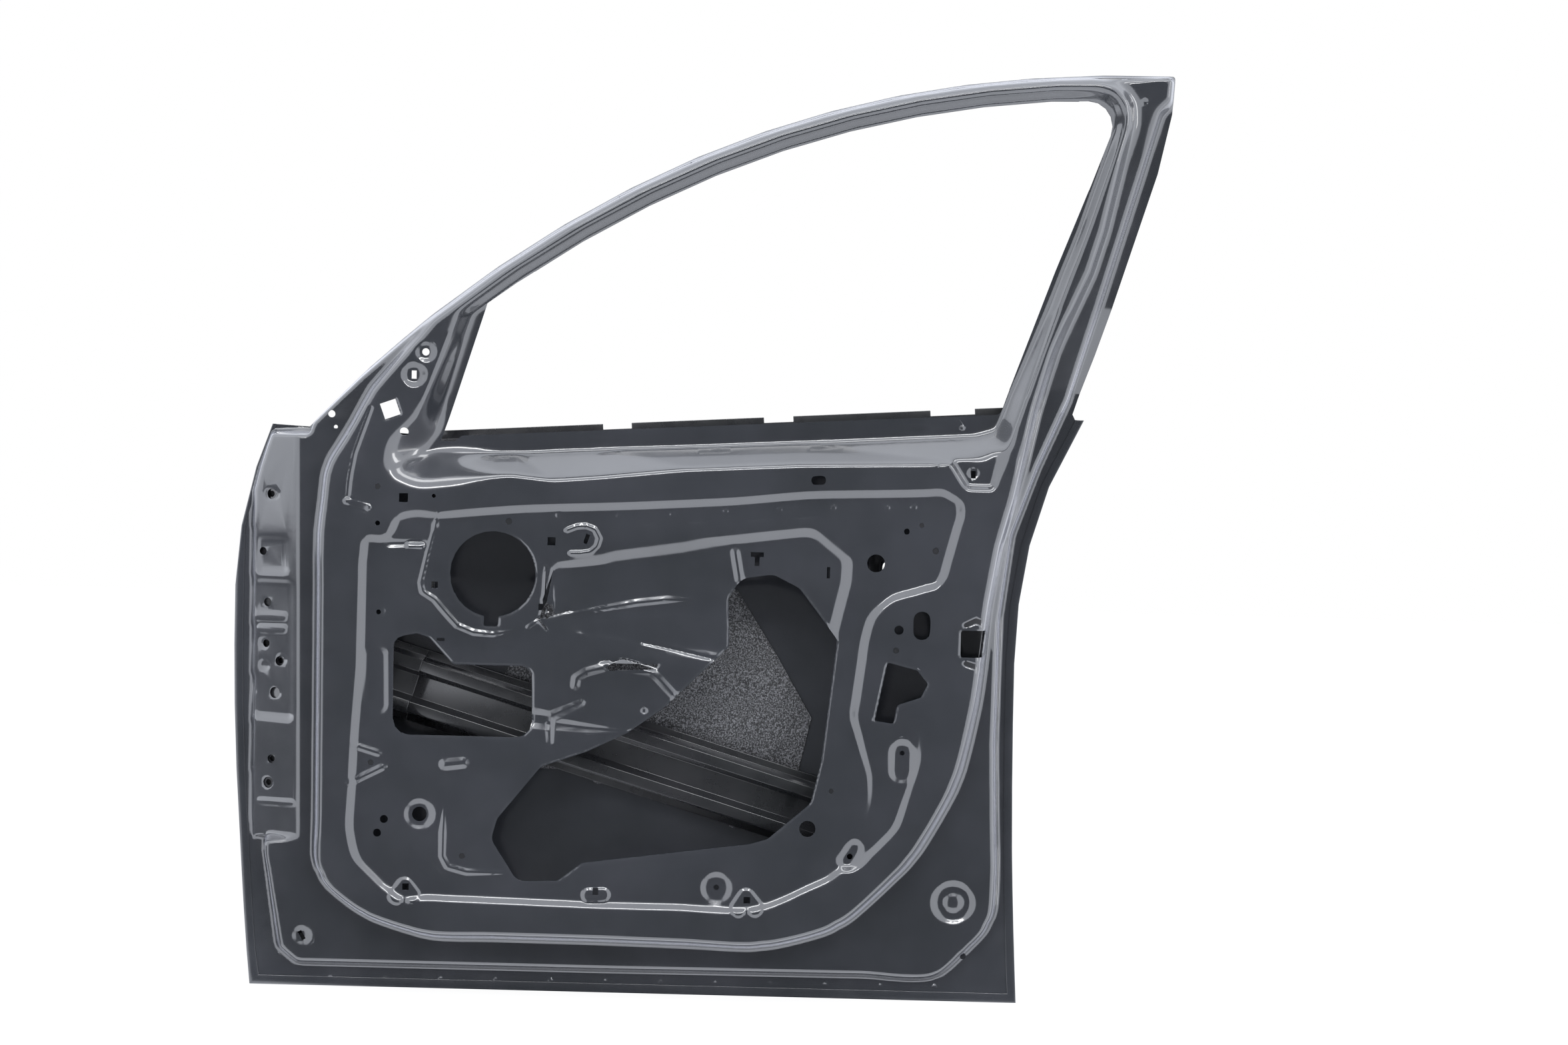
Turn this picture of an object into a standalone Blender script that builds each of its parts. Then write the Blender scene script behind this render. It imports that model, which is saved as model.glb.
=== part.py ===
"""Right-hand front car door shell: pressed inner panel, hemmed outer skin and their reinforcements.

Metres, +Z up. The car's front is -X and its rear +X. The cabin side faces -Y, the road side +Y.
The origin is the centre of the upper hinge seat, on the slanted front wall.
Outlines are written in millimetres as (x, z, corner radius), seen from the cabin side.
"""
import math

import bmesh
import bpy
from mathutils import Matrix, Vector

MM = 0.001

# Sheet thicknesses and the clearance between pieces that touch
PANEL_SHEET = 0.0008
SKIN_SHEET = 0.0007
REINFORCEMENT_SHEET = 0.0012
BEAM_SHEET = 0.0016
GAP = 0.0003

# Levels of the inner panel, from the cabin outwards
LAND_Y = -0.070
SHELF_DEPTH = 0.045
WEDGE_DEPTH = 0.045
FLANGE_DROP = 0.008
PAN_DEPTH = 0.006
REGULATOR_DEPTH = 0.006
LAND_DRAFT = 0.010
BASE_DRAFT = 0.003
PAN_DRAFT = 0.007

SHELF_Y = LAND_Y + SHELF_DEPTH
FOOT_Y = SHELF_Y + WEDGE_DEPTH
FLANGE_Y = FOOT_Y + FLANGE_DROP
PAN_Y = LAND_Y + PAN_DEPTH
REGULATOR_Y = PAN_Y + REGULATOR_DEPTH
BLOCK_BACK = 0.012

# Skin: bottom edge, hem and vertical section (height, depth of the flange face)
SKIN_BOTTOM = -0.644
HEM_WIDTH = 0.010
TIP_HEM_WIDTH = 0.004
TIP_HEM_START = -0.1
HEM_CLEARANCE = 0.0016
SECTION = ((SKIN_BOTTOM, -0.016), (-0.602, -0.007), (-0.555, 0.004), (-0.508, 0.014), (-0.460, 0.022),
           (-0.380, 0.0275), (-0.300, 0.0315), (-0.225, 0.034), (-0.150, 0.035), (-0.075, 0.035),
           (0.000, 0.034), (0.110, 0.029))
SKIN_TOP = ((-0.010, 0.055), (0.216, 0.044), (0.908, 0.089), (1.018, 0.085))

# Front wall that takes the hinges
HINGE_SLOPE = 45 / 65
HINGE_RAKE = 0.0257
HINGE_TOP = 0.044
FLANGE_TOP = 0.049
HINGE_FOOT = -0.466
HINGE_FLANGE = 0.005

# Window frame: belt line, lean towards the cabin and thinner section
BELT_START = Vector((0.216, 0.0, 0.050))
BELT_RISE = math.radians(3.8)
FRAME_FOOT = 0.015
FRAME_LEAN = math.radians(15)
FRAME_THIN = 0.5
FRAME_BLEND = 0.10

# Header curve: height at the rear corner, fall and its exponent
HEADER_END_X = 1.104
HEADER_END_Z = 0.499
HEADER_FALL = 0.0221
HEADER_SPAN = 0.288
HEADER_POWER = 2.3

# Frame stripes, measured inwards from the header's edge
FRAME_EDGE = 0.005
FRAME_LAND = 0.015
FRAME_LAND_END = 0.023
FRAME_FLANGE = 0.029
FRAME_WINDOW = 0.032

# Header channel: its ends, and its edges measured inwards from the header's edge
CHANNEL_REAR_X = 0.985
CHANNEL_FRONT_X = 0.315
CHANNEL_OUTER = 0.008
CHANNEL_LIP = 0.0265
CHANNEL_INNER = 0.034

# Speaker opening and intrusion beam
SPEAKER_RADIUS = 0.0526
BEAM_FRONT = Vector((0.100, -0.006, -0.2445))
BEAM_REAR = Vector((0.815, -0.017, -0.456))
BEAM_RIDGE = 0.0265
BEAM_VALLEY = 0.014
BEAM_DEPTH = 0.026
BRACKET_REACH = 0.090
BRACKET_SEAT = 0.017

# Glass channels, hinge plates and weld nuts
CHANNEL_WIDTH = 0.018
CHANNEL_DEPTH = 0.016
HINGE_PLATE = 0.006
HINGE_STEP = 0.0062
NUT_RADIUS = 0.0075
NUT_HEIGHT = 0.005


def clear_scene():
    """Remove what the scene holds."""
    for item in list(bpy.data.objects):
        bpy.data.objects.remove(item, do_unlink=True)


def new_collection(name):
    """Make a collection in the scene."""
    group = bpy.data.collections.new(name)
    bpy.context.scene.collection.children.link(group)
    return group


def finish(name, colour, roughness, metallic):
    """Make a Principled material."""
    made = bpy.data.materials.new(name)
    made.use_nodes = True
    shader = made.node_tree.nodes["Principled BSDF"]
    shader.inputs["Base Color"].default_value = (*colour, 1.0)
    shader.inputs["Roughness"].default_value = roughness
    shader.inputs["Metallic"].default_value = metallic
    return made


def front_edge(z):
    """X of the skin's front edge at a height: a shallow arc, tighter above its foremost point."""
    rise = z + 0.152
    bend = 1.0 if rise > 0 else 0.17
    return -0.049 + bend * rise * rise


def rear_edge(z):
    """X of the skin's rear edge at a height: nearly upright, sweeping back to the belt tip."""
    rise = z + 0.250
    if rise < 0:
        return 0.938 + 0.05 * rise * rise
    return 0.938 + 1.232 * rise ** 2.5


def header_point(x, inset, radius=0.0):
    """Corner on the header's curve, moved inwards square to it. Inputs in metres, result in mm."""
    run = max(HEADER_END_X - x, 0.0) / HEADER_SPAN
    z = HEADER_END_Z - HEADER_FALL * run ** HEADER_POWER
    slope = HEADER_FALL * HEADER_POWER / HEADER_SPAN * run ** (HEADER_POWER - 1)
    size = math.hypot(1.0, slope)
    return ((x + inset * slope / size) / MM, (z - inset / size) / MM, radius)


def header_run(first, last, count, inset):
    """Points along the header from one X to another."""
    step = (last - first) / (count - 1)
    return [header_point(first + step * i, inset) for i in range(count)]


def section_depth(z):
    """Depth of the flange face at a height, from the door's vertical section."""
    if z <= SECTION[0][0]:
        return SECTION[0][1]
    for (low, deep_low), (high, deep_high) in zip(SECTION, SECTION[1:]):
        if z <= high:
            return deep_low + (deep_high - deep_low) * (z - low) / (high - low)
    return SECTION[-1][1]


def above_belt(x, z):
    """Height over the frame's foot, square to the belt line."""
    height = (z - BELT_START.z) * math.cos(BELT_RISE) - (x - BELT_START.x) * math.sin(BELT_RISE)
    return height - FRAME_FOOT


def formed(point):
    """Move a point of the flat pressing to its formed place: curved flange, thinner and leaning frame."""
    x, y, z = point
    if y > FLANGE_Y - 0.0001:
        y += section_depth(z) - FLANGE_Y
    height = above_belt(x, z)
    if height > 0:
        thin = 1.0 - (1.0 - FRAME_THIN) * min(height / FRAME_BLEND, 1.0)
        y = SHELF_Y + (y - SHELF_Y) * thin - math.tan(FRAME_LEAN) * height
    return Vector((x, y, z))


def offset(corners, distance):
    """Move each side of a closed outline outwards; distances and outline in mm."""
    count = len(corners)
    area = sum(corners[i - 1][0] * corners[i][1] - corners[i][0] * corners[i - 1][1] for i in range(count))
    side = 1.0 if area > 0 else -1.0
    moved = []
    for i, (x, z, radius) in enumerate(corners):
        before = Vector((x - corners[i - 1][0], z - corners[i - 1][1])).normalized()
        after = Vector((corners[(i + 1) % count][0] - x, corners[(i + 1) % count][1] - z)).normalized()
        out_before = Vector((before.y, -before.x)) * side
        out_after = Vector((after.y, -after.x)) * side
        miter = (out_before + out_after) / (1.0 + out_before.dot(out_after))
        turn = before.cross(after) * side
        new_radius = radius
        if radius:
            new_radius = max(radius + math.copysign(distance, distance * turn), 0.5)
        moved.append((x + miter.x * distance, z + miter.y * distance, new_radius))
    return moved


def rounded(corners, steps):
    """Turn corners with radii into points, arcs at the round ones. Result in metres as (x, z)."""
    points = []
    count = len(corners)
    for i, (x, z, radius) in enumerate(corners):
        here = Vector((x, z))
        if not radius:
            points.append(here * MM)
            continue
        back = Vector(corners[i - 1][:2]) - here
        ahead = Vector(corners[(i + 1) % count][:2]) - here
        half = back.angle(ahead) / 2
        reach = min(radius / math.tan(half), back.length * 0.49, ahead.length * 0.49)
        start = here + back.normalized() * reach
        end = here + ahead.normalized() * reach
        fit = reach * math.tan(half)
        centre = here + (back.normalized() + ahead.normalized()).normalized() * (fit / math.sin(half))
        arm = start - centre
        sweep = arm.angle_signed(end - centre)
        for step in range(steps + 1):
            turn = Matrix.Rotation(-sweep * step / steps, 2)
            points.append((centre + turn @ arm) * MM)
    return points


def depth_of(level, point):
    """A level is a number or a function of x and z."""
    return level(point.x, point.y) if callable(level) else level


def solid(name, near, far, near_y, far_y, material, steps=3):
    """Closed body between two outlines of like corners, near the cabin and far from it."""
    shape = bmesh.new()
    rings = []
    for corners, level in ((near, near_y), (far, far_y)):
        points = rounded(corners, steps)
        rings.append([shape.verts.new((p.x, depth_of(level, p), p.y)) for p in points])
    shape.faces.new(rings[0])
    shape.faces.new(rings[1])
    for i in range(len(rings[0])):
        shape.faces.new((rings[0][i - 1], rings[0][i], rings[1][i], rings[1][i - 1]))
    bmesh.ops.remove_doubles(shape, verts=shape.verts, dist=0.00001)
    bmesh.ops.connect_verts_nonplanar(shape, angle_limit=math.radians(0.5), faces=shape.faces)
    bmesh.ops.recalc_face_normals(shape, faces=shape.faces)
    return to_object(name, shape, material)


def to_object(name, shape, material):
    """Turn a bmesh into an object with one material."""
    mesh = bpy.data.meshes.new(name)
    shape.to_mesh(mesh)
    shape.free()
    mesh.materials.append(material)
    return bpy.data.objects.new(name, mesh)


def plug(name, x, z, near_radius, far_radius, near_y, far_y, material, segments=12):
    """Round tapered body along Y; x, z and radii in mm."""
    shape = bmesh.new()
    bmesh.ops.create_cone(shape, cap_ends=True, segments=segments, radius1=near_radius * MM,
                          radius2=far_radius * MM, depth=far_y - near_y)
    bmesh.ops.rotate(shape, verts=shape.verts, matrix=Matrix.Rotation(math.radians(-90), 3, "X"))
    bmesh.ops.translate(shape, verts=shape.verts, vec=(x * MM, (near_y + far_y) / 2, z * MM))
    return to_object(name, shape, material)


def box_corners(x, z, width, height, radius=0.0, turn=0.0):
    """Rectangle about a centre, in mm, turned by degrees."""
    angle = math.radians(turn)
    corners = []
    for side_x, side_z in ((-1, -1), (1, -1), (1, 1), (-1, 1)):
        dx = side_x * width / 2
        dz = side_z * height / 2
        corners.append((x + dx * math.cos(angle) - dz * math.sin(angle),
                        z + dx * math.sin(angle) + dz * math.cos(angle), radius))
    return corners


def ribbon(points, width):
    """Outline of a strip along a path, with blunt ends; mm."""
    path = [Vector(p) for p in points]
    left, right = [], []
    for i, here in enumerate(path):
        before = (here - path[i - 1]).normalized() if i else (path[1] - here).normalized()
        after = (path[i + 1] - here).normalized() if i < len(path) - 1 else before
        side = Vector((-before.y - after.y, before.x + after.x))
        side = side.normalized() * width / 2 / max(side.length / 2, 0.3)
        left.append(here + side)
        right.append(here - side)
    ends = right + left[::-1]
    return [(p.x, p.y, width * 0.3 if p in (right[0], right[-1], left[0], left[-1]) else 0.0) for p in ends]


class Press:
    """Blocks, pockets and punches that together shape one pressed sheet."""

    def __init__(self, name, sheet, material):
        self.name = name
        self.sheet = sheet
        self.material = material
        self.scrap = finish(name + " scrap", (0.5, 0.1, 0.1), 0.5, 0.0)
        self.stages = []

    def stage(self, operation):
        """Start a group of tools that act together."""
        group = new_collection(f"{self.name} {operation.lower()} {len(self.stages)}")
        self.stages.append((operation, group))
        return group

    def add(self, tool):
        """Put a tool into the last stage."""
        tool.hide_render = True
        tool.display_type = "WIRE"
        self.stages[-1][1].objects.link(tool)
        return tool

    def block(self, near, draft, near_y, far_y, steps=3):
        """Block whose walls spread by a draft in mm towards the back."""
        return self.add(solid("block", near, offset(near, draft), near_y, far_y, self.material, steps))

    def pocket(self, near, draft, near_y, floor_y, steps=3):
        """Recess from a surface down to a floor, narrower there by the draft in mm."""
        rise = 0.001
        spread = draft * rise / max(floor_y - near_y, 0.0005) if not callable(floor_y) else 0.0
        mouth = offset(near, spread)
        return self.add(solid("pocket", mouth, offset(near, -draft), near_y - rise, floor_y, self.material, steps))

    def dish(self, x, z, radius, surface_y, depth, draft=2.0, segments=12):
        """Round recess of a depth in metres; place and sizes in mm."""
        rise = 0.0005
        mouth = radius + draft * rise / depth
        return self.add(plug("dish", x, z, mouth, radius - draft, surface_y - rise, surface_y + depth,
                             self.material, segments))

    def punch(self, corners, near_y=-0.30, far_y=0.20, steps=3):
        """Hole of any outline."""
        return self.add(solid("punch", corners, corners, near_y, far_y, self.scrap, steps))

    def drill(self, x, z, radius, near_y=-0.30, far_y=0.20, segments=10):
        """Round hole, in mm."""
        return self.add(plug("punch", x, z, radius, radius, near_y, far_y, self.scrap, segments))

    def pressed(self, blank_corners, blank_y, group, cuts=(), warp=formed, steps=3):
        """Shape the blank with every stage, keep its skin, form it and give it its thickness."""
        blank = solid(self.name, blank_corners, blank_corners, blank_y, blank_y + BLOCK_BACK, self.scrap, steps)
        blank.data.materials.append(self.material)
        for face in blank.data.polygons:
            face.material_index = 1 if face.normal.y < -0.5 else 0
        bpy.context.scene.collection.objects.link(blank)
        for operation, tools in self.stages:
            cut = blank.modifiers.new(operation, "BOOLEAN")
            cut.operation = operation
            cut.operand_type = "COLLECTION"
            cut.collection = tools
            cut.solver = "EXACT"
            cut.material_mode = "TRANSFER"
        bpy.context.view_layer.update()
        graph = bpy.context.evaluated_depsgraph_get()
        mesh = bpy.data.meshes.new_from_object(blank.evaluated_get(graph), depsgraph=graph)
        kept = self.skin_of(mesh, cuts, warp)
        bpy.data.objects.remove(blank, do_unlink=True)
        for _, tools in self.stages:
            for tool in list(tools.objects):
                bpy.data.objects.remove(tool, do_unlink=True)
            bpy.data.collections.remove(tools)
        made = bpy.data.objects.new(self.name, kept)
        group.objects.link(made)
        thicken(made, self.sheet, Vector((0, 1, 0)))
        return made

    def skin_of(self, mesh, cuts, warp):
        """Keep the faces that are not scrap, cut them at the forming lines and move them."""
        scrap_slots = [i for i, slot in enumerate(mesh.materials) if slot == self.scrap]
        shape = bmesh.new()
        shape.from_mesh(mesh)
        scrap = [face for face in shape.faces if face.material_index in scrap_slots]
        bmesh.ops.delete(shape, geom=scrap, context="FACES")
        bmesh.ops.remove_doubles(shape, verts=shape.verts, dist=0.00002)
        bmesh.ops.dissolve_limit(shape, angle_limit=math.radians(0.2), verts=shape.verts, edges=shape.edges)
        for point, normal, only_flange in cuts:
            faces = shape.faces
            if only_flange:
                faces = [f for f in shape.faces if any(v.co.y > FLANGE_Y - 0.0001 for v in f.verts)]
            parts = set(faces)
            for face in faces:
                parts.update(face.edges)
                parts.update(face.verts)
            bmesh.ops.bisect_plane(shape, geom=list(parts), plane_co=point, plane_no=normal, dist=0.00002)
        bmesh.ops.triangulate(shape, faces=shape.faces)
        for vert in shape.verts:
            vert.co = warp(vert.co)
        clean = bpy.data.meshes.new(self.name)
        for face in shape.faces:
            face.material_index = 0
        shape.to_mesh(clean)
        shape.free()
        clean.materials.append(self.material)
        return clean


def thicken(item, sheet, towards):
    """Give an open surface its sheet thickness on the side that faces a direction."""
    normals = sum((face.normal * face.area for face in item.data.polygons), Vector())
    wall = item.modifiers.new("Sheet", "SOLIDIFY")
    wall.thickness = sheet
    wall.offset = 1.0 if normals.dot(towards) > 0 else -1.0
    wall.use_even_offset = True
    wall.use_quality_normals = True


def swept_sheet(name, sections, sheet, towards, group, material):
    """Folded sheet through a row of like sections, given as lists of points in metres."""
    shape = bmesh.new()
    rows = [[shape.verts.new(point) for point in section] for section in sections]
    for row, following in zip(rows, rows[1:]):
        for i in range(len(row) - 1):
            shape.faces.new((row[i], row[i + 1], following[i + 1], following[i]))
    bmesh.ops.connect_verts_nonplanar(shape, angle_limit=math.radians(0.2), faces=shape.faces)
    made = to_object(name, shape, material)
    group.objects.link(made)
    thicken(made, sheet, towards)
    return made


def cut_by(item, tools, cutters):
    """Subtract tools from an object, keeping them as wire cutters."""
    for tool in tools:
        cutters.objects.link(tool)
        tool.hide_render = True
        tool.display_type = "WIRE"
        cut = item.modifiers.new(tool.name, "BOOLEAN")
        cut.operation = "DIFFERENCE"
        cut.object = tool
        cut.solver = "EXACT"


def forming_cuts():
    """Planes where the pressing bends: at the stations of the section and at the foot of the frame."""
    cuts = [(Vector((0, 0, z)), Vector((0, 0, 1)), True) for z, _ in SECTION[1:]]
    belt_normal = Vector((-math.sin(BELT_RISE), 0, math.cos(BELT_RISE)))
    foot = BELT_START + belt_normal * FRAME_FOOT
    cuts.append((foot, belt_normal, False))
    cuts.append((foot + belt_normal * FRAME_BLEND, belt_normal, False))
    return cuts


def hinge_face(x, z):
    """Depth of the slanted hinge wall."""
    return -HINGE_SLOPE * (x + HINGE_RAKE * z)


def hinge_edge(z, level):
    """X in mm where the hinge wall meets a level, at a height in metres."""
    return (-level / HINGE_SLOPE - HINGE_RAKE * z) / MM


def flange_outline():
    """Edge of the inner panel all round, inside the skin's fold."""
    inset = HEM_CLEARANCE / MM
    heights = [SKIN_BOTTOM + HEM_CLEARANCE] + [z for z, _ in SECTION[1:-1]]
    front = [(front_edge(z) / MM + inset, z / MM, 0) for z in heights + [FLANGE_TOP]]
    header = header_run(0.040, 1.096, 14, 0.0)
    corner = [(1104, 499, 3), (1103, 455, 0), (1090, 385, 0), (1027, 165, 0), (1004, 92, 0), (1010, 80, 0)]
    rear = [(rear_edge(z) / MM - inset, z / MM, 0) for z in [0.074] + heights[::-1]]
    return (front + header + corner + rear)[::-1]


def base_outline():
    """Outer edge of the perimeter shelf."""
    header = header_run(0.110, 1.080, 13, FRAME_EDGE)
    foot = HINGE_FOOT / MM
    front = [(28, -597, 10), (5, foot - 14, 12), (5, foot + 2, 4), (52, foot + 6, 4), (48, -300, 0), (44, 30, 3),
             (52, 56, 5)]
    corner = [(1099, 494, 2), (1098, 466, 5), (1086, 455, 8), (1068, 385, 40)]
    rear = [(994, 109, 10), (958, 25, 40), (927, -62, 40), (914, -167, 30), (912, -323, 0), (917, -487, 30)]
    bottom = [(911, -548, 40), (845, -613, 12), (428, -615, 0), (51, -615, 12)]
    return (front + header + corner + rear + bottom)[::-1]


def land_outline():
    """Edge of the seal land, the plateau nearest the cabin."""
    bottom = [(83, -500, 40), (138, -545, 50), (216, -569, 60), (430, -570, 0), (628, -573, 110)]
    rear = [(720, -546, 70), (806, -464, 90), (859, -368, 90), (881, -270, 60), (894, -150, 60),
            (906, -76, 0), (922, -17, 30), (946, 94, 30), (967, 169, 0), (1006, 262, 0), (1020, 312, 40)]
    corner = [(1053, 481, 70)]
    header = header_run(0.960, 0.200, 10, FRAME_LAND)
    front = [(136, 96, 25), (103, 37, 30), (82, 0, 40), (74, -81, 0), (80, -430, 0)]
    return bottom + rear + corner + header + front


def window_pocket():
    """Mouth on the land and floor on the window flange, corner by corner."""
    belt = [((154, -3, 8), (186, 19, 5)), ((192, -18, 12), (200, 20, 4)), ((308, -4, 0), (310, 24, 0)),
            ((362, -9, 0), (364, 28, 0)), ((416, -4, 0), (418, 31, 0)), ((530, 9, 0), (530, 37, 0)),
            ((659, 17, 0), (658, 45, 0)), ((884, 24, 12), (882, 60, 8)), ((913, 38, 14), (904, 66, 8)),
            ((935, 106, 0), (920, 107, 0)), ((987, 261, 0), (977, 263, 0)), ((1006, 320, 0), (998, 320, 0)),
            ((1052, 475, 72), (1046, 468, 66))]
    mouth = header_run(0.955, 0.300, 9, FRAME_LAND_END)
    floor = header_run(0.955, 0.300, 9, FRAME_FLANGE)
    front = [((237, 190, 6), (257, 198, 4)), ((190, 62, 15), (205, 48, 5)), ((160, 34, 12), (194, 30, 5))]
    pairs = belt + list(zip(mouth, floor)) + front
    return [p[0] for p in pairs], [p[1] for p in pairs]


def window_outline():
    """Edge of the window opening."""
    belt = [(214, 37, 0), (232, 37, 3), (240, 44, 3), (575, 66, 0), (908, 87, 8)]
    rear = [(968, 263, 0), (1006, 366, 20), (1040, 464, 60)]
    return belt + rear + header_run(0.950, 0.290, 9, FRAME_WINDOW) + [(272, 206, 3)]


def pan_outline():
    """Edge of the recessed pan inside the land."""
    left = [(124, -243, 0), (119, -333, 20), (116, -442, 20), (126, -480, 20), (161, -515, 14), (188, -531, 8)]
    bottom = [(216, -528, 8), (429, -532, 0), (622, -532, 50), (719, -487, 60), (748, -452, 12)]
    right = [(762, -396, 20), (761, -362, 12), (738, -289, 12), (740, -270, 10), (749, -196, 12),
             (757, -168, 14), (779, -147, 10), (834, -129, 8), (843, -116, 8), (863, -39, 12)]
    top = [(860, -22, 10), (838, -9, 12), (673, -16, 0), (580, -26, 0), (466, -34, 0), (319, -42, 0),
           (217, -52, 8), (192, -50, 8), (169, -56, 8), (153, -82, 6), (129, -84, 8), (124, -112, 0)]
    return left + bottom + right + top


def ramp_depth(x, z):
    """Floor of the ramp behind the pull handle, from the land down to the pan."""
    return LAND_Y + PAN_DEPTH * (-0.271 - z) / 0.178


def add_pan(press):
    """Pan, handle ramp and the deeper area over the window regulator."""
    press.stage("DIFFERENCE")
    press.pocket(pan_outline(), PAN_DRAFT / MM, LAND_Y, PAN_Y)
    ramp = [(700, -449, 0), (731, -488, 20), (791, -427, 50), (818, -342, 40), (820, -286, 12), (814, -262, 4),
            (735, -262, 0)]
    press.add(solid("ramp", offset(ramp, 1), offset(ramp, -4), LAND_Y - 0.001, ramp_depth, press.material))
    press.stage("DIFFERENCE")
    mouth = [(351, -112, 3), (437, -89, 0), (520, -76, 0), (585, -68, 0), (682, -56, 30), (730, -95, 12),
             (729, -124, 8), (712, -196, 4), (640, -240, 4), (430, -240, 10), (351, -200, 6)]
    floor = [(360, -117, 2), (440, -108, 0), (520, -96, 0), (588, -82, 0), (676, -70, 25), (716, -101, 10),
             (715, -124, 6), (700, -192, 4), (640, -215, 4), (470, -205, 10), (385, -170, 6)]
    press.add(solid("regulator", mouth, floor, PAN_Y - 0.0008, REGULATOR_Y, press.material))


def add_openings(press):
    """Window, access, speaker, latch and handle openings."""
    press.stage("DIFFERENCE")
    press.punch(window_outline(), steps=5)
    press.punch([(579, -208, 4), (577, -148, 15), (592, -124, 20), (632, -118, 20), (664, -134, 20),
                 (712, -196, 12), (696, -345, 10), (684, -398, 20), (632, -443, 15), (609, -450, 10),
                 (477, -468, 0), (405, -478, 8), (375, -501, 10), (326, -502, 15), (293, -452, 15),
                 (300, -426, 10), (352, -361, 12), (408, -341, 10), (457, -317, 10), (501, -285, 10)])
    press.punch([(169, -326, 20), (340, -326, 20), (338, -243, 10), (326, -238, 4), (241, -238, 6),
                 (211, -206, 8), (196, -201, 6), (167, -207, 14)])
    press.drill(287, -126, SPEAKER_RADIUS / MM, segments=28)
    press.punch(box_corners(286, -180, 18, 20, 3))
    press.punch(box_corners(882, -197, 38, 33, 3), far_y=LAND_Y + 0.018)
    press.punch([(760, -294, 2), (783, -297, 3), (787, -274, 6), (816, -264, 4), (824, -247, 4), (811, -231, 6),
                 (774, -222, 3)])


def add_round_forms(press):
    """Dishes and bosses, with their holes punched later."""
    press.stage("DIFFERENCE")
    for x, z, radius in ((757, -101, 17), (865, -521, 26)):
        press.dish(x, z, radius, LAND_Y if z > -500 else SHELF_Y, 0.004, 3.0, 16)
    press.dish(880, -590, 12, SHELF_Y, 0.003)
    press.dish(56, -582, 11, SHELF_Y, 0.003)
    for x, z, radius in ((204, -423, 18), (571, -504, 18), (148, -176, 9), (355, -240, 10)):
        press.dish(x, z, radius, PAN_Y, 0.003, 2.5)
    press.dish(199, 144, 12, LAND_Y, 0.005, 2.0)
    press.dish(185, 116, 14, LAND_Y, 0.006, 2.0)
    press.pocket(box_corners(795, -344, 32, 55, 15.5), 4.0, LAND_Y, LAND_Y + 0.006)
    press.pocket(box_corners(734, -459, 22, 40, 10, -35), 3.0, LAND_Y, PAN_Y + 0.004)
    press.pocket([(842, 30, 0), (865, -7, 5), (899, -7, 5), (914, 40, 0)], 3.0, LAND_Y, LAND_Y + 0.008)
    press.stage("UNION")
    press.add(plug("boss", 865, -521, 10, 13, SHELF_Y + 0.001, SHELF_Y + 0.010, press.material, 16))


def add_beads(press):
    """Stiffening beads: raised ribs and sunk flutes."""
    press.stage("DIFFERENCE")
    flutes = (([(388, -193), (535, -150)], 10), ([(382, -176), (508, -173)], 8), ([(395, -200), (560, -226)], 8),
              ([(235, -410), (238, -484), (300, -496)], 11), ([(231, -347), (278, -357)], 12),
              ([(109, -41), (134, -50)], 7), ([(154, -92), (202, -90)], 7))
    for path, width in flutes:
        level = LAND_Y if path[0][0] < 130 else PAN_Y
        press.add(solid("flute", ribbon(path, width + 1), ribbon(path, width * 0.35), level - 0.0005,
                        level + 0.0035, press.material))
    for x, z in ((279, 30), (418, 40), (556, 50), (697, 58), (806, 65)):
        press.pocket(box_corners(x, z, 42, 9, 2, 3.8), 1.5, SHELF_Y, SHELF_Y + 0.0015, steps=2)
    press.stage("UNION")
    ribs = (([(217, -64), (203, -140), (209, -158), (242, -184), (292, -198)], 9),
            ([(334, -191), (360, -172), (356, -162)], 8),
            ([(392, -262), (409, -236), (450, -229), (490, -237), (516, -270)], 10))
    for path, width in ribs:
        press.add(solid("rib", ribbon(path, width * 0.4), ribbon(path, width), PAN_Y - 0.003, PAN_Y + 0.0008,
                        press.material))
    press.add(solid("rib", ribbon([(583, -88), (591, -130)], 4), ribbon([(583, -86), (591, -130)], 9),
                    REGULATOR_Y - 0.003, REGULATOR_Y + 0.0008, press.material))


def add_hinge_wall(press):
    """Slanted front wall between the shelf and the flange."""
    wedge = bmesh.new()
    back = FLANGE_Y + BLOCK_BACK / 2
    rings = []
    for z in (HINGE_FOOT, -0.030, 0.0, 0.024, HINGE_TOP):
        front = max(hinge_edge(z, FOOT_Y) * MM, front_edge(z) + HEM_CLEARANCE + HINGE_FLANGE)
        rear = hinge_edge(z, SHELF_Y) * MM
        inside = rear + 0.020
        profile = ((front, hinge_face(front, z)), (front, back), (inside, back), (inside, SHELF_Y), (rear, SHELF_Y))
        rings.append([wedge.verts.new((x, y, z)) for x, y in profile])
    wedge.faces.new(rings[0])
    wedge.faces.new(rings[-1])
    for below, above in zip(rings, rings[1:]):
        for i in range(len(below)):
            wedge.faces.new((below[i - 1], below[i], above[i], above[i - 1]))
    bmesh.ops.connect_verts_nonplanar(wedge, angle_limit=math.radians(0.5), faces=wedge.faces)
    bmesh.ops.recalc_face_normals(wedge, faces=wedge.faces)
    press.add(to_object("hinge wall", wedge, press.material))


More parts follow.
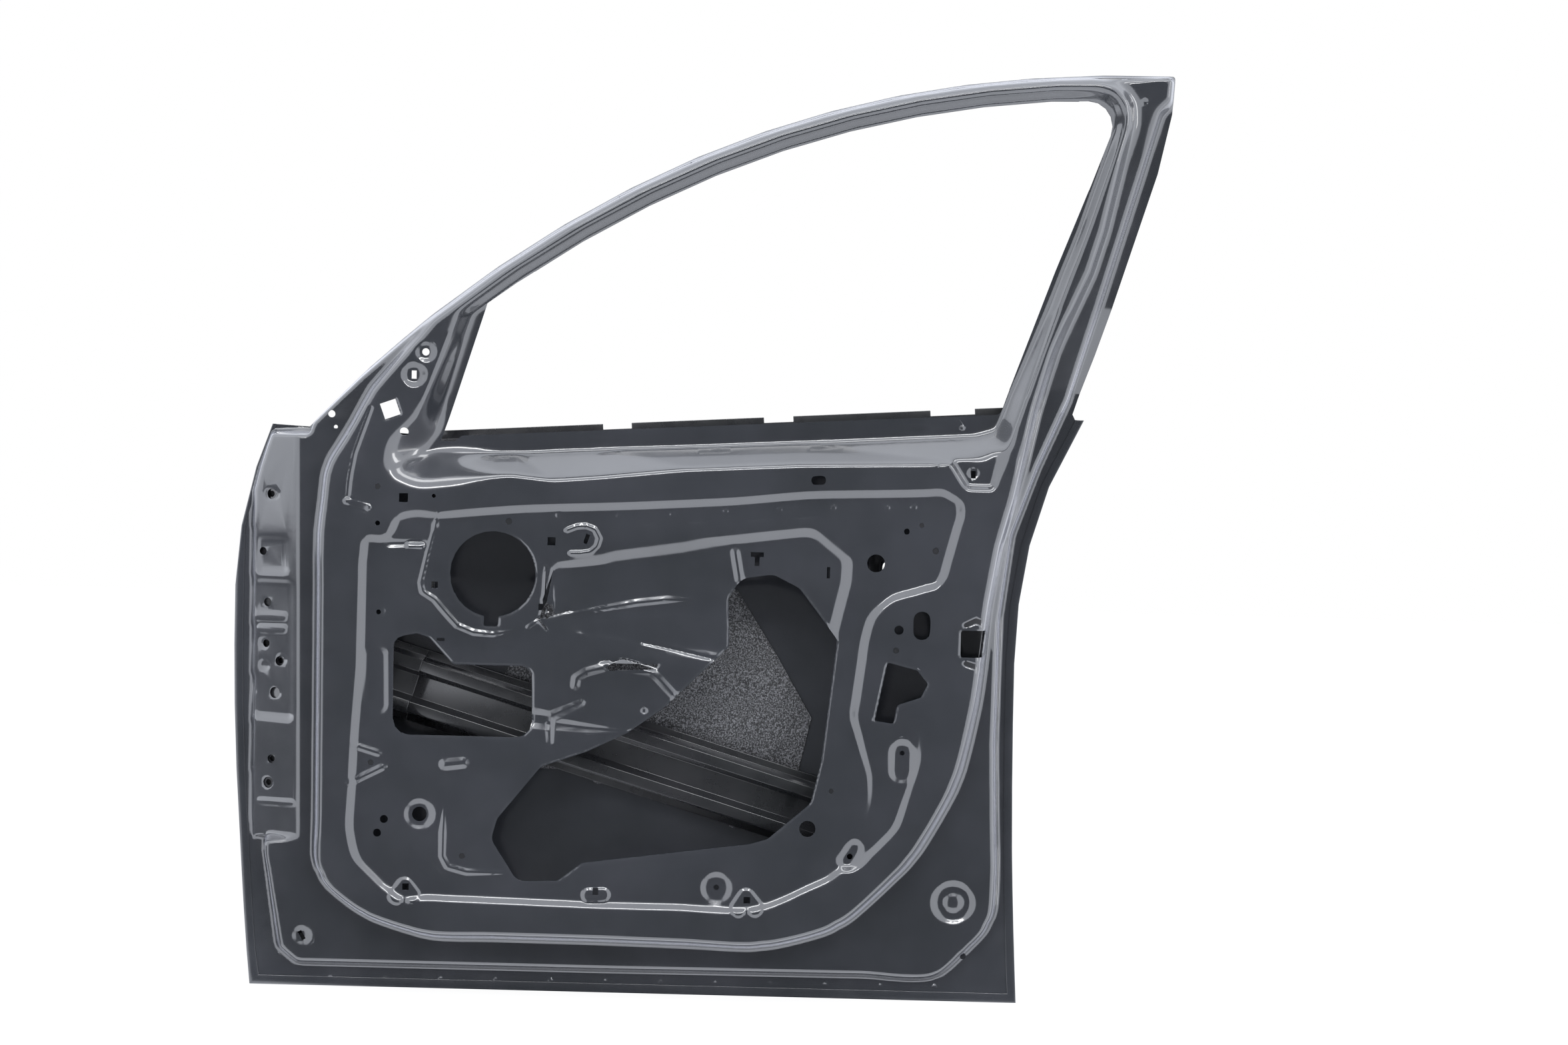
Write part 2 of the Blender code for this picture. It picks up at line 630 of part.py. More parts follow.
def add_hinge_forms(press):
    """Recessed middle of the hinge wall, its pads and holes."""
    press.stage("DIFFERENCE")

    def level(depth):
        return lambda x, z: hinge_face(x, z) + depth

    middle = [(-19, -315, 6), (37, -315, 6), (33, -142, 6), (-22, -142, 6)]
    press.add(solid("middle", offset(middle, 3), offset(middle, -2), level(-0.004), level(0.004), press.material))
    pad = [(-18, -133, 5), (25, -133, 5), (24, -88, 5), (-19, -88, 5)]
    press.add(solid("pad", offset(pad, 2), offset(pad, -2), level(-0.003), level(0.003), press.material))


def add_holes(press):
    """Fixing and drain holes."""
    press.stage("DIFFERENCE")
    round_holes = ((144, -22, 3.5), (213, -32, 2.5), (145, -67, 3), (305, -61, 4), (148, -176, 3), (757, -101, 11),
                   (794, -61, 3.7), (812, -53, 3), (830, -84, 4), (787, -182, 5.7), (784, -207, 3.7),
                   (795, -333, 3), (681, -429, 10), (709, -382, 3), (734, -462, 3.5), (571, -504, 3.5),
                   (204, -423, 9), (161, -430, 5), (153, -447, 5), (143, -361, 3.5), (258, -473, 3.5),
                   (0, -34, 6.5), (-11, -106, 5), (-3, -170, 5.5), (-4, -222, 5), (16, -243, 6), (10, -283, 7),
                   (8, -366, 5.5), (4, -396, 7), (199, 144, 4.5), (174, 46, 5), (78, 67, 4.5), (83, 51, 2.5),
                   (880, -590, 4))
    for x, z, radius in round_holes:
        press.drill(x, z, radius, segments=12 if radius > 6 else 8)
    for x, z, side, turn in ((176, -35, 11, 0), (216, -141, 8, 0), (348, -165, 8, 0), (358, -84, 10, 0),
                             (157, 73, 20, 20), (609, -518, 8, 0), (190, -512, 8, 0)):
        press.punch(box_corners(x, z, side, side, 0, turn))
    slots = ((684, -1, 18, 11, 5, 3), (225, -208, 10, 4, 0, 0), (699, -114, 4, 14, 0, 0), (874, 11, 6, 9, 0, 0),
             (815, -176, 21, 35, 10, 0), (185, 116, 6, 10, 0, 0), (56, -582, 5, 12, 0, 30), (401, -80, 5, 12, 0, -20),
             (423, -512, 7, 9, 0, 0))
    for x, z, width, height, radius, turn in slots:
        press.punch(box_corners(x, z, width, height, radius, turn))
    press.punch([(603, -91, 0), (603, -97, 0), (608, -97, 0), (608, -108, 0), (614, -108, 0), (614, -97, 0),
                 (619, -97, 0), (619, -91, 0)])


def inner_panel(group, steel):
    """Inner panel and window frame, one pressing."""
    press = Press("inner_panel", PANEL_SHEET, steel)
    press.stage("UNION")
    inside = FLANGE_Y + BLOCK_BACK / 2
    press.block(base_outline(), BASE_DRAFT / MM, SHELF_Y, inside)
    add_hinge_wall(press)
    press.block(land_outline(), LAND_DRAFT / MM, LAND_Y, SHELF_Y + 0.001)
    press.stage("DIFFERENCE")
    mouth, floor = window_pocket()
    press.add(solid("window", offset(mouth, 0.5), floor, LAND_Y - 0.0008, SHELF_Y, steel, 4))
    add_pan(press)
    add_round_forms(press)
    add_beads(press)
    add_hinge_forms(press)
    add_openings(press)
    add_holes(press)
    return press.pressed(flange_outline(), FLANGE_Y, group, forming_cuts())


def skin_top(x):
    """Height of the skin's upper edge."""
    for (x0, z0), (x1, z1) in zip(SKIN_TOP, SKIN_TOP[1:]):
        if x <= x1:
            return z0 + (z1 - z0) * (x - x0) / (x1 - x0)
    return SKIN_TOP[-1][1]


def skin_inside(z):
    """Depth of the skin's inner surface, a clearance behind the panel's flange."""
    return section_depth(z) + PANEL_SHEET * 1.04 + GAP


def outer_skin(group, cutters, material):
    """Outer skin: one sheet, its three lower edges folded over the panel's flange."""
    heights = [z for z, _ in SECTION[:-1]]
    top_front, top_rear = SKIN_TOP[0][0], SKIN_TOP[-1][0]
    shares = [(x - top_front) / (top_rear - top_front) for x, _ in SKIN_TOP]
    hem = HEM_WIDTH * 1.5
    shape = bmesh.new()
    bmesh.ops.create_grid(shape, x_segments=len(shares) + 1, y_segments=len(heights), size=0.5)
    for vert in shape.verts:
        column = round((vert.co.x + 0.5) * (len(shares) + 1))
        row = round((vert.co.y + 0.5) * len(heights))
        z = heights[row] if row < len(heights) else None
        low = z if z is not None else SKIN_TOP[0][1]
        high = z if z is not None else SKIN_TOP[-1][1]
        first, last = front_edge(low), rear_edge(high)
        places = [first, first + hem] + [first + (last - first) * s for s in shares[1:-1]] + [last - hem, last]
        x = places[column]
        z = skin_top(x) if z is None else z
        vert.co = (x, skin_inside(z), z)
    shape.normal_update()
    rim = [e for e in shape.edges if e.is_boundary and not all(v.co.z > 0.03 for v in e.verts)]
    fold = extrude_edges(shape, rim, lambda co: Vector((co.x, section_depth(co.z) - GAP * 1.1, co.z)))
    extrude_edges(shape, fold, lip_point)
    made = to_object("outer_skin", shape, material)
    group.objects.link(made)
    thicken(made, SKIN_SHEET, Vector((0, 1, 0)))
    handle = [solid("handle aperture", box_corners(792, -112, 46, 24, 6), box_corners(792, -112, 46, 24, 6),
                    0.0, 0.1, material), plug("lock aperture", 866, -112, 13, 13, 0.0, 0.1, material, 16)]
    cut_by(made, handle, cutters)
    return made


def lip_point(co):
    """Inner end of the folded lip, square to the edge it comes from."""
    x = co.x
    if abs(x - front_edge(co.z)) < 0.004:
        x += HEM_WIDTH if co.z < TIP_HEM_START else TIP_HEM_WIDTH
    if abs(x - rear_edge(co.z)) < 0.004:
        x -= HEM_WIDTH
    z = co.z + (HEM_WIDTH if co.z < SKIN_BOTTOM + 0.001 else 0.0)
    return Vector((x, section_depth(z) - GAP * 1.1, z))


def extrude_edges(shape, edges, place):
    """Extrude edges, move the new points and return the new outer edges."""
    grown = bmesh.ops.extrude_edge_only(shape, edges=edges)["geom"]
    points = {item for item in grown if isinstance(item, bmesh.types.BMVert)}
    for point in points:
        point.co = place(point.co)
    return [e for e in grown if isinstance(e, bmesh.types.BMEdge) and all(v in points for v in e.verts)]


def belt_height(x):
    """Height of the belt line."""
    return BELT_START.z + math.tan(BELT_RISE) * (x - BELT_START.x)


def belt_reinforcements(group, cutters, material):
    """Strips that stiffen both sides of the glass slot."""
    behind = SHELF_Y + PANEL_SHEET + GAP
    profile = ((-0.009, behind), (-0.0145, behind), (-0.0175, behind + 0.003), (-0.031, behind + 0.003),
               (-0.034, behind + 0.009))
    sections = [[Vector((x, y, belt_height(x) + drop)) for drop, y in profile] for x in (0.244, 0.872)]
    swept_sheet("belt_reinforcement_inner", sections, REINFORCEMENT_SHEET, Vector((0, 1, -0.2)), group, material)
    hat = ((-0.044, 0.0), (-0.034, 0.0), (-0.028, -0.015), (-0.014, -0.015), (-0.010, -0.003), (0.002, -0.003))
    sections = []
    for x in (0.205, 0.925):
        heights = [belt_height(x) + rise for rise, _ in hat]
        sections.append([Vector((x, skin_inside(z) - GAP + depth, z)) for z, (_, depth) in zip(heights, hat)])
    outer = swept_sheet("belt_reinforcement_outer", sections, REINFORCEMENT_SHEET, Vector((0, -1, 0)), group,
                        material)
    notches = []
    for first, last in ((0.411, 0.447), (0.614, 0.651), (0.824, 0.880)):
        middle = (first + last) / 2
        corners = box_corners(middle / MM, belt_height(middle) / MM + 3, (last - first) / MM, 16, 0, 3.8)
        notches.append(solid("belt notch", corners, corners, 0.0, 0.06, material))
    cut_by(outer, notches, cutters)


def beam_axes():
    """Start, unit vectors along and across the beam, and its length."""
    along = BEAM_REAR - BEAM_FRONT
    length = along.length
    along.normalize()
    across = Vector((0, -1, 0)).cross(along).normalized()
    return along, across, length


def beam_profile(extra=0.0):
    """Twin-ridged hat, as (across, depth); extra moves it out on the cabin side."""
    side = BEAM_RIDGE + 0.0105
    half = [(side + 0.009, BEAM_DEPTH), (side, BEAM_DEPTH), (side - 0.004, 0.0), (BEAM_RIDGE - 0.0065, 0.0),
            (BEAM_VALLEY, BEAM_VALLEY), (-BEAM_VALLEY, BEAM_VALLEY)]
    whole = half + [(-across, depth) for across, depth in half[3::-1]]
    return [(across, depth - extra) for across, depth in whole]


def intrusion_beam(group, material):
    """Slanted side-impact beam and the brackets that carry it."""
    along, across, length = beam_axes()
    out = Vector((0, 1, 0))

    def section(place, profile):
        base = BEAM_FRONT + along * place
        return [base + across * side + out * depth for side, depth in profile]

    sections = [section(place, beam_profile()) for place in (0.0, length)]
    swept_sheet("intrusion_beam", sections, BEAM_SHEET, out, group, material)
    seat = SHELF_Y + PANEL_SHEET + GAP * 4 + REINFORCEMENT_SHEET
    nested = beam_profile(GAP + 0.0002)
    for name, end, way, spread in (("beam_front_bracket", 0.0, -1, 0.9), ("beam_rear_bracket", length, 1, 0.4)):
        flat = []
        for run in (BRACKET_SEAT * 2, BRACKET_SEAT):
            base = BEAM_FRONT + along * (end + way * run)
            row = [base + across * side * spread for side, _ in nested]
            flat.append([Vector((p.x, seat, p.z)) for p in row])
        lap = [section(end + way * run, nested) for run in (0.004, -BRACKET_REACH)]
        swept_sheet(name, flat + lap, REINFORCEMENT_SHEET, -out, group, material)


def hinge_frame():
    """Matrix of the hinge wall: -Y along its outward normal, Z up the wall."""
    outward = Vector((-HINGE_SLOPE, -1.0, -HINGE_SLOPE * HINGE_RAKE)).normalized()
    side = Vector((1.0, -HINGE_SLOPE, 0.0)).normalized()
    up = side.cross(-outward).normalized()
    return Matrix((side, -outward, up)).transposed().to_4x4()


def behind_wall(x, z, depth):
    """Point behind the hinge wall: x from its middle line, height, depth square to it."""
    across = x - HINGE_RAKE * z
    inwards = hinge_frame().to_3x3() @ Vector((0, 1, 0))
    return Vector((across, hinge_face(across, z), z)) + inwards * depth


def hinge_reinforcements(group, cutters, material):
    """Doubler behind the hinge wall, the tapped hinge plates and the check strap plate."""
    frame = hinge_frame()
    behind = PANEL_SHEET + GAP
    doubler = ((0.034, behind), (-0.070, behind), (-0.081, HINGE_STEP), (-0.322, HINGE_STEP), (-0.334, behind),
               (-0.436, behind))
    front_row = [behind_wall(max(-0.023, front_edge(z) + 0.013), z, depth) for z, depth in doubler]
    sections = [front_row, [behind_wall(0.030, z, depth) for z, depth in doubler]]
    made = swept_sheet("hinge_reinforcement", sections, REINFORCEMENT_SHEET, frame.to_3x3() @ Vector((0, 1, 0)),
                       group, material)
    holes = [plug("doubler hole", x, z, 8, 8, -0.04, 0.05, material, 12)
             for x, z in ((0, -34), (8, -366), (4, -396), (-4, -222), (16, -243))]
    cut_by(made, holes, cutters)
    plates = (("hinge_plate_upper", 0.010, -0.020, 34, 76, ((0, -34),), behind),
              ("hinge_plate_lower", 0.003, -0.380, 46, 80, ((8, -366), (4, -396)), behind),
              ("check_strap_plate", 0.003, -0.232, 46, 70, ((-4, -222), (16, -243)), HINGE_STEP))
    for name, across, height, width, length, holes, level in plates:
        front = level + REINFORCEMENT_SHEET + GAP
        middle = frame.inverted() @ behind_wall(across, height, 0)
        corners = box_corners(middle.x / MM, middle.z / MM, width, length, 4)
        body = solid(name, corners, corners, front, front + HINGE_PLATE, material)
        body.matrix_world = frame
        group.objects.link(body)
        bores = [plug("plate bore", x, z, 4, 4, -0.04, 0.06, material, 12) for x, z in holes]
        cut_by(body, bores, cutters)


def latch_reinforcement(group, cutters, material):
    """Angle behind the land and the rear wall at the latch opening."""
    behind = LAND_Y + PANEL_SHEET + GAP
    sections = []
    for z, edge in ((-0.158, 0.8925), (-0.238, 0.8840)):
        sections.append([Vector((edge - 0.048, behind, z)), Vector((edge - 0.0035, behind, z)),
                         Vector((edge + 0.0045, behind + 0.036, z))])
    made = swept_sheet("latch_reinforcement", sections, REINFORCEMENT_SHEET, Vector((-0.3, 1, 0)), group, material)
    corners = box_corners(884, -197, 44, 37, 3)
    cut_by(made, [solid("latch clearance", corners, corners, -0.1, LAND_Y + 0.022, material)], cutters)


def frame_pieces(group, material):
    """Pieces that back the pressing above the belt: mirror doubler and the outer channels."""
    drop = 0.0024
    press = Press("mirror_reinforcement", REINFORCEMENT_SHEET, material)
    press.stage("DIFFERENCE")
    press.dish(199, 144, 14.5, LAND_Y + drop, 0.005, 2.0)
    press.dish(185, 116, 16.5, LAND_Y + drop, 0.006, 2.0)
    press.stage("DIFFERENCE")
    press.drill(199, 144, 5.5, segments=8)
    press.punch(box_corners(185, 116, 9, 13))
    press.punch(box_corners(157, 73, 25, 25, 0, 20))
    outline = [(112, 26, 4), (136, 22, 4), (150, 42, 4), (182, 68, 8), (222, 170, 4), (212, 172, 4), (148, 98, 8)]
    press.pressed(outline, LAND_Y + drop, group, forming_cuts()[-2:])
    seat = SHELF_Y + 0.0024
    press = Press("header_channel", REINFORCEMENT_SHEET, material)
    press.stage("UNION")
    rear, front = CHANNEL_REAR_X + 0.010, CHANNEL_FRONT_X - 0.010
    lip = header_run(rear, front, 9, CHANNEL_LIP) + header_run(front, rear, 9, CHANNEL_INNER + 0.006)
    press.add(solid("lip", lip, lip, seat, FLANGE_Y, material))
    press.stage("DIFFERENCE")
    press.punch(window_outline(), steps=5)
    for x in (CHANNEL_REAR_X + 0.020, CHANNEL_FRONT_X - 0.020):
        middle = header_point(x, CHANNEL_LIP)
        press.punch(box_corners(middle[0], middle[1], 40, 100))
    band = header_run(rear, front, 10, CHANNEL_OUTER) + header_run(front, rear, 10, CHANNEL_INNER)
    press.pressed(band, FLANGE_Y - 0.007, group, forming_cuts()[-2:])
    press = Press("rear_post_channel", REINFORCEMENT_SHEET, material)
    press.stage("DIFFERENCE")
    press.pocket([(985, 263, 0), (1022, 360, 0), (1038, 352, 0), (1018, 263, 0), (974, 130, 0), (940, 130, 0)],
                 3.0, seat, seat + 0.030)
    press.stage("DIFFERENCE")
    press.punch(window_outline(), steps=5)
    post = [(915, 118, 0), (966, 263, 0), (1002, 360, 0), (1046, 360, 0), (1026, 263, 0), (984, 118, 0)]
    press.pressed(post, seat, group, forming_cuts()[-2:])


def glass_channels(group, material):
    """Lower guides of the window glass, seated behind the ends of the belt flange."""
    wall = SHELF_Y + PANEL_SHEET + GAP
    for name, x, low, high, way in (("glass_channel_front", 0.190, -0.190, 0.030, 1),
                                    ("glass_channel_rear", 0.898, -0.165, 0.066, -1)):
        profile = ((x + way * CHANNEL_WIDTH, wall), (x, wall), (x, wall + CHANNEL_DEPTH),
                   (x + way * CHANNEL_WIDTH, wall + CHANNEL_DEPTH))
        sections = [[Vector((px, py, z)) for px, py in profile] for z in (low, high)]
        swept_sheet(name, sections, REINFORCEMENT_SHEET, Vector((way, 0, 0)), group, material)


def skin_patch(name, rows, sheet, group, material):
    """Sheet stuck to the skin's inside; rows are (height, front x, rear x), straight between stations."""
    sections = [[Vector((x, skin_inside(z) - GAP, z)) for x in (first, last)] for z, first, last in rows]
    return swept_sheet(name, sections, sheet, Vector((0, -1, 0)), group, material)


def skin_fittings(group, cutters, steel, mastic):
    """Damping pad, handle doubler and the mastic between beam and skin."""
    skin_patch("damping_pad", [(-0.372, 0.294, 0.668), (-0.300, 0.288, 0.684),
                               (-0.225, 0.286, 0.640), (-0.150, 0.285, 0.592), (-0.110, 0.285, 0.566)],
               0.002, group, mastic)
    handle = skin_patch("handle_reinforcement", [(-0.145, 0.752, 0.892), (-0.080, 0.752, 0.892)],
                        REINFORCEMENT_SHEET, group, steel)
    corners = box_corners(792, -112, 52, 30, 6)
    cut_by(handle, [solid("handle clearance", corners, corners, 0.0, 0.1, steel),
                    plug("lock clearance", 866, -112, 16, 16, 0.0, 0.1, steel, 16)], cutters)
    along, across, length = beam_axes()
    for number, share in enumerate((0.22, 0.46, 0.70, 0.90), start=1):
        base = BEAM_FRONT + along * length * share - across * (BEAM_RIDGE + 0.014)
        near = base.y + BEAM_DEPTH + BEAM_SHEET + GAP * 2
        far = skin_inside(base.z - 0.007) - GAP * 2
        blob = plug(f"mastic_bead_{number}", base.x / MM, base.z / MM, 8, 6, near, far, mastic, 16)
        group.objects.link(blob)


def weld_nuts(group, material):
    """Nuts behind the panel at its tapped fixings."""
    places = ((305, -61, PAN_Y), (812, -53, PAN_Y), (830, -84, PAN_Y), (784, -207, LAND_Y), (709, -382, PAN_Y),
              (258, -473, PAN_Y), (143, -361, PAN_Y), (144, -22, LAND_Y))
    for number, (x, z, level) in enumerate(places, start=1):
        shape = bmesh.new()
        bmesh.ops.create_cone(shape, cap_ends=True, segments=6, radius1=NUT_RADIUS, radius2=NUT_RADIUS,
                              depth=NUT_HEIGHT)
        bmesh.ops.rotate(shape, verts=shape.verts, matrix=Matrix.Rotation(math.radians(-90), 3, "X"))
        middle = level + PANEL_SHEET + GAP + NUT_HEIGHT / 2
        bmesh.ops.translate(shape, verts=shape.verts, vec=(x * MM, middle, z * MM))
        group.objects.link(to_object(f"weld_nut_{number}", shape, material))


def main():
    """Build the door shell."""
    clear_scene()
    group = new_collection("car_door_shell")
    cutters = new_collection("cutters")
    coated = finish("e-coat", (0.030, 0.031, 0.034), 0.32, 0.0)
    steel = finish("coated steel", (0.036, 0.037, 0.040), 0.35, 0.0)
    mastic = finish("mastic", (0.050, 0.050, 0.052), 0.8, 0.0)
    inner_panel(group, coated)
    outer_skin(group, cutters, coated)
    belt_reinforcements(group, cutters, steel)
    intrusion_beam(group, steel)
    hinge_reinforcements(group, cutters, steel)
    latch_reinforcement(group, cutters, steel)
    frame_pieces(group, steel)
    glass_channels(group, steel)
    skin_fittings(group, cutters, steel, mastic)
    weld_nuts(group, steel)


main()
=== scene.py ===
"""Dressed model of a right-hand front door shell in black electrocoat, seen from the cabin side.

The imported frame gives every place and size. Metres, +Z up, the car's front is -X, the cabin side faces -Y.
"""
from __future__ import annotations

import logging
import math
from dataclasses import dataclass, field
from enum import Enum

import bmesh
import bpy
import numpy as np
from mathutils import Matrix, Vector
from mathutils.bvhtree import BVHTree


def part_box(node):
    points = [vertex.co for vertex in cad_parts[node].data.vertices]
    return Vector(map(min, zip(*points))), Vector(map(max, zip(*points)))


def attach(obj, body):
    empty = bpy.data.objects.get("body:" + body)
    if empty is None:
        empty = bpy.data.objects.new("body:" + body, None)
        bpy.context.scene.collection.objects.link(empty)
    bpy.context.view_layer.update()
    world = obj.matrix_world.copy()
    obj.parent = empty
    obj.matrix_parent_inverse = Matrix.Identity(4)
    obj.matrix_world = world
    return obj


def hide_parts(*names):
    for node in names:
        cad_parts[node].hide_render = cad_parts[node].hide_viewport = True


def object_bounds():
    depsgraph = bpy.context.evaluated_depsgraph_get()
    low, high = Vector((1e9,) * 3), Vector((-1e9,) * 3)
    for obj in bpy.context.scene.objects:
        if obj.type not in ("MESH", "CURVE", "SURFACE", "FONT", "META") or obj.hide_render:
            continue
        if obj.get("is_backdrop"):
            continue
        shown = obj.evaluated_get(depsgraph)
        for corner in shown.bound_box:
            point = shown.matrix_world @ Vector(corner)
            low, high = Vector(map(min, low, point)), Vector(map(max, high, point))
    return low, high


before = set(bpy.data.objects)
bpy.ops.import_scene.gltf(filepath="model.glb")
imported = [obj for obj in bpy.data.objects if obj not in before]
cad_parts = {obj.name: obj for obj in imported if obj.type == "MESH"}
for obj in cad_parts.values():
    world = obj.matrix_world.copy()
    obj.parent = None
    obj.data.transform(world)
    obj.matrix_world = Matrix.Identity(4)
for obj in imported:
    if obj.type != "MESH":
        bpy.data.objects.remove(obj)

log = logging.getLogger("door_shell")
MM = 0.001
TINY = 1e-12
BODY = "root"
WHITE = (1.0, 1.0, 1.0, 1.0)
Pair = tuple[float, float]
Triple = tuple[float, float, float]
Path = tuple[tuple[float, ...], ...]
Socket = bpy.types.NodeSocket

# Distances under which points are merged: on a CAD copy, and on the pressed sheet
CAD_MERGE = 0.00002
SHEET_MERGE = 0.00005

# Depth under a face from which the sheet's thickness is felt for
JUST_INSIDE = 0.00001

# Holes that are made round: sine of a corner's turn, fewest corners, and sides below and above a radius
CORNER_SINE = 0.02
FEWEST_CORNERS = 8
SMALL_RADIUS = 0.02
SMALL_SIDES = 20
LARGE_SIDES = 96

# Repeats to the metre of the patterns in the coats and in the mastic
CLOUDS = 7.0
SMEARS = 26.0
WAVES = 60.0
PEEL = 900.0
GRAIN = 520.0
PATCHES = 90.0

# Range in which most values of a noise pattern lie
NOISE_RANGE = (0.3, 0.7)

# A line drawn into a curve: longest run that it is drawn over, and how strongly
LONGEST_DRAW = 0.11
DRAW_STRENGTH = 0.38

# Steps from a cell of the lattice to the eight round it
NEIGHBOURS = ((0, 1), (0, -1), (1, 0), (-1, 0), (1, 1), (1, -1), (-1, 1), (-1, -1))


class Slot(Enum):
    """Material slots of the record."""

    E_COAT = "e_coat"
    E_COAT_INSIDE = "e_coat_inside"
    MASTIC = "mastic"


def enter(mode: str) -> None:
    """Switch the active object to another mode.

    Args:
        mode: EDIT or OBJECT.
    """
    bpy.ops.object.mode_set(mode=mode)


def deselect() -> None:
    """Leave object mode and select nothing."""
    if bpy.context.object and bpy.context.object.mode != "OBJECT":
        enter("OBJECT")
    bpy.ops.object.select_all(action="DESELECT")


def take(item: bpy.types.Object) -> None:
    """Make one object selected and active.

    Args:
        item: Object to work on.
    """
    deselect()
    item.select_set(True)
    bpy.context.view_layer.objects.active = item


def settle(item: bpy.types.Object) -> None:
    """Put an object's place, turn and scale into its mesh.

    Args:
        item: Object to settle.
    """
    take(item)
    bpy.ops.object.transform_apply(location=True, rotation=True, scale=True)


def apply_all(item: bpy.types.Object) -> None:
    """Apply every modifier of an object in order.

    Args:
        item: Object whose modifiers are applied.
    """
    take(item)
    for modifier in list(item.modifiers):
        bpy.ops.object.modifier_apply(modifier=modifier.name)


def smooth(item: bpy.types.Object, degrees: float) -> None:
    """Shade smooth where faces meet at less than an angle.

    Args:
        item: Object to shade.
        degrees: Largest angle that is smoothed over.
    """
    take(item)
    bpy.ops.object.shade_smooth_by_angle(angle=math.radians(degrees))


def merged_copy(node: str, name: str) -> bpy.types.Object:
    """Copy a CAD node and merge its loose triangles.

    Args:
        node: Name of the CAD node.
        name: Name of the new piece.

    Returns:
        The new object, one connected mesh.
    """
    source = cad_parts[node]
    item = bpy.data.objects.new(name, source.data.copy())
    bpy.context.scene.collection.objects.link(item)
    item.data.materials.clear()
    take(item)
    enter("EDIT")
    bpy.ops.mesh.select_all(action="SELECT")
    bpy.ops.mesh.remove_doubles(threshold=CAD_MERGE)
    enter("OBJECT")
    return item


def gentle(share: np.ndarray) -> np.ndarray:
    """Let an even slope start and end level.

    Args:
        share: Slope from 0 to 1.

    Returns:
        The rounded slope, from 0 to 1.
    """
    return share * share * (3 - 2 * share)


def dress(item: bpy.types.Object, material: bpy.types.Material) -> None:
    """Give a new piece its material and body.

    Args:
        item: Piece to dress.
        material: Finish of the piece.
    """
    item.data.materials.clear()
    item.data.materials.append(material)
    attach(item, BODY)


def fix(node: bpy.types.Node, values: dict[str, float | tuple[float, ...]]) -> None:
    """Set inputs of a node to fixed values.

    Args:
        node: Node to change.
        values: Value of each input, by its name.
    """
    for name, value in values.items():
        node.inputs[name].default_value = value


def calculated(tree: bpy.types.NodeTree, operation: str, *values: Socket) -> Socket:
    """Add a calculation to a node tree.

    Args:
        tree: Tree to add to.
        operation: Kind of calculation.
        values: Sockets to read.

    Returns:
        The result.
    """
    node = tree.nodes.new("ShaderNodeMath")
    node.operation = operation
    for socket, value in zip(node.inputs, values):
        tree.links.new(value, socket)
    return node.outputs["Value"]


def mapped(tree: bpy.types.NodeTree, value: Socket, source: Pair, result: Pair,
           fade: str = "SMOOTHSTEP") -> Socket:
    """Map a value in a node tree from one range to another.

    Args:
        tree: Tree to add to.
        value: Socket to read.
        source: Limits that it is read between.
        result: Values at those limits.
        fade: Kind of interpolation.

    Returns:
        The mapped socket.
    """
    node = tree.nodes.new("ShaderNodeMapRange")
    node.interpolation_type = fade
    fix(node, {"From Min": source[0], "From Max": source[1], "To Min": result[0], "To Max": result[1]})
    tree.links.new(value, node.inputs["Value"])
    return node.outputs["Result"]


class Nodes:
    """Short-hand for building a material's node tree."""

    def __init__(self, name: str) -> None:
        """Start an empty material.

        Args:
            name: Name of the material.
        """
        self.material = bpy.data.materials.new(name)
        self.material.use_nodes = True
        self.tree = self.material.node_tree
        self.shader = self.tree.nodes["Principled BSDF"]
        coordinates = self.tree.nodes.new("ShaderNodeTexCoord")
        self.place = coordinates.outputs["Object"]

    def noise(self, scale: float, detail: float, roughness: float = 0.5) -> Socket:
        """Add a noise pattern on object coordinates.

        Args:
            scale: Repeats to the metre.
            detail: Octaves.
            roughness: Strength of the finer octaves.

        Returns:
            The pattern's value socket.
        """
        node = self.tree.nodes.new("ShaderNodeTexNoise")
        fix(node, {"Scale": scale, "Detail": detail, "Roughness": roughness})
        self.tree.links.new(self.place, node.inputs["Vector"])
        return node.outputs["Fac"]

    def ramp(self, value: Socket, stops: list[tuple[float, Triple]]) -> Socket:
        """Turn a value into colours.

        Args:
            value: Socket to read.
            stops: Positions with their colours.

        Returns:
            The colour socket.
        """
        node = self.tree.nodes.new("ShaderNodeValToRGB")
        while len(node.color_ramp.elements) < len(stops):
            node.color_ramp.elements.new(0.5)
        for element, (position, colour) in zip(node.color_ramp.elements, stops):
            element.position = position
            element.color = (*colour, 1.0)
        self.tree.links.new(value, node.inputs["Fac"])
        return node.outputs["Color"]

    def spread(self, value: Socket, low: float, high: float) -> Socket:
        """Map a pattern from its usual middle range to other limits.

        Args:
            value: Socket to read.
            low: Result at the pattern's low end.
            high: Result at its high end.

        Returns:
            The mapped value socket.
        """
        return mapped(self.tree, value, NOISE_RANGE, (low, high), "LINEAR")

    def bump(self, height: Socket, strength: float, distance: float, below: Socket | None = None) -> Socket:
        """Add a bump.

        Args:
            height: Height pattern.
            strength: Share of the bump that shows.
            distance: Height in metres.
            below: Normal socket of a coarser bump under this one.

        Returns:
            The normal socket.
        """
        node = self.tree.nodes.new("ShaderNodeBump")
        fix(node, {"Strength": strength, "Distance": distance})
        self.tree.links.new(height, node.inputs["Height"])
        if below:
            self.tree.links.new(below, node.inputs["Normal"])
        return node.outputs["Normal"]

    def put(self, socket: Socket, name: str) -> None:
        """Link a socket to an input of the shader.

        Args:
            socket: Socket to read.
            name: Name of the input.
        """
        self.tree.links.new(socket, self.shader.inputs[name])


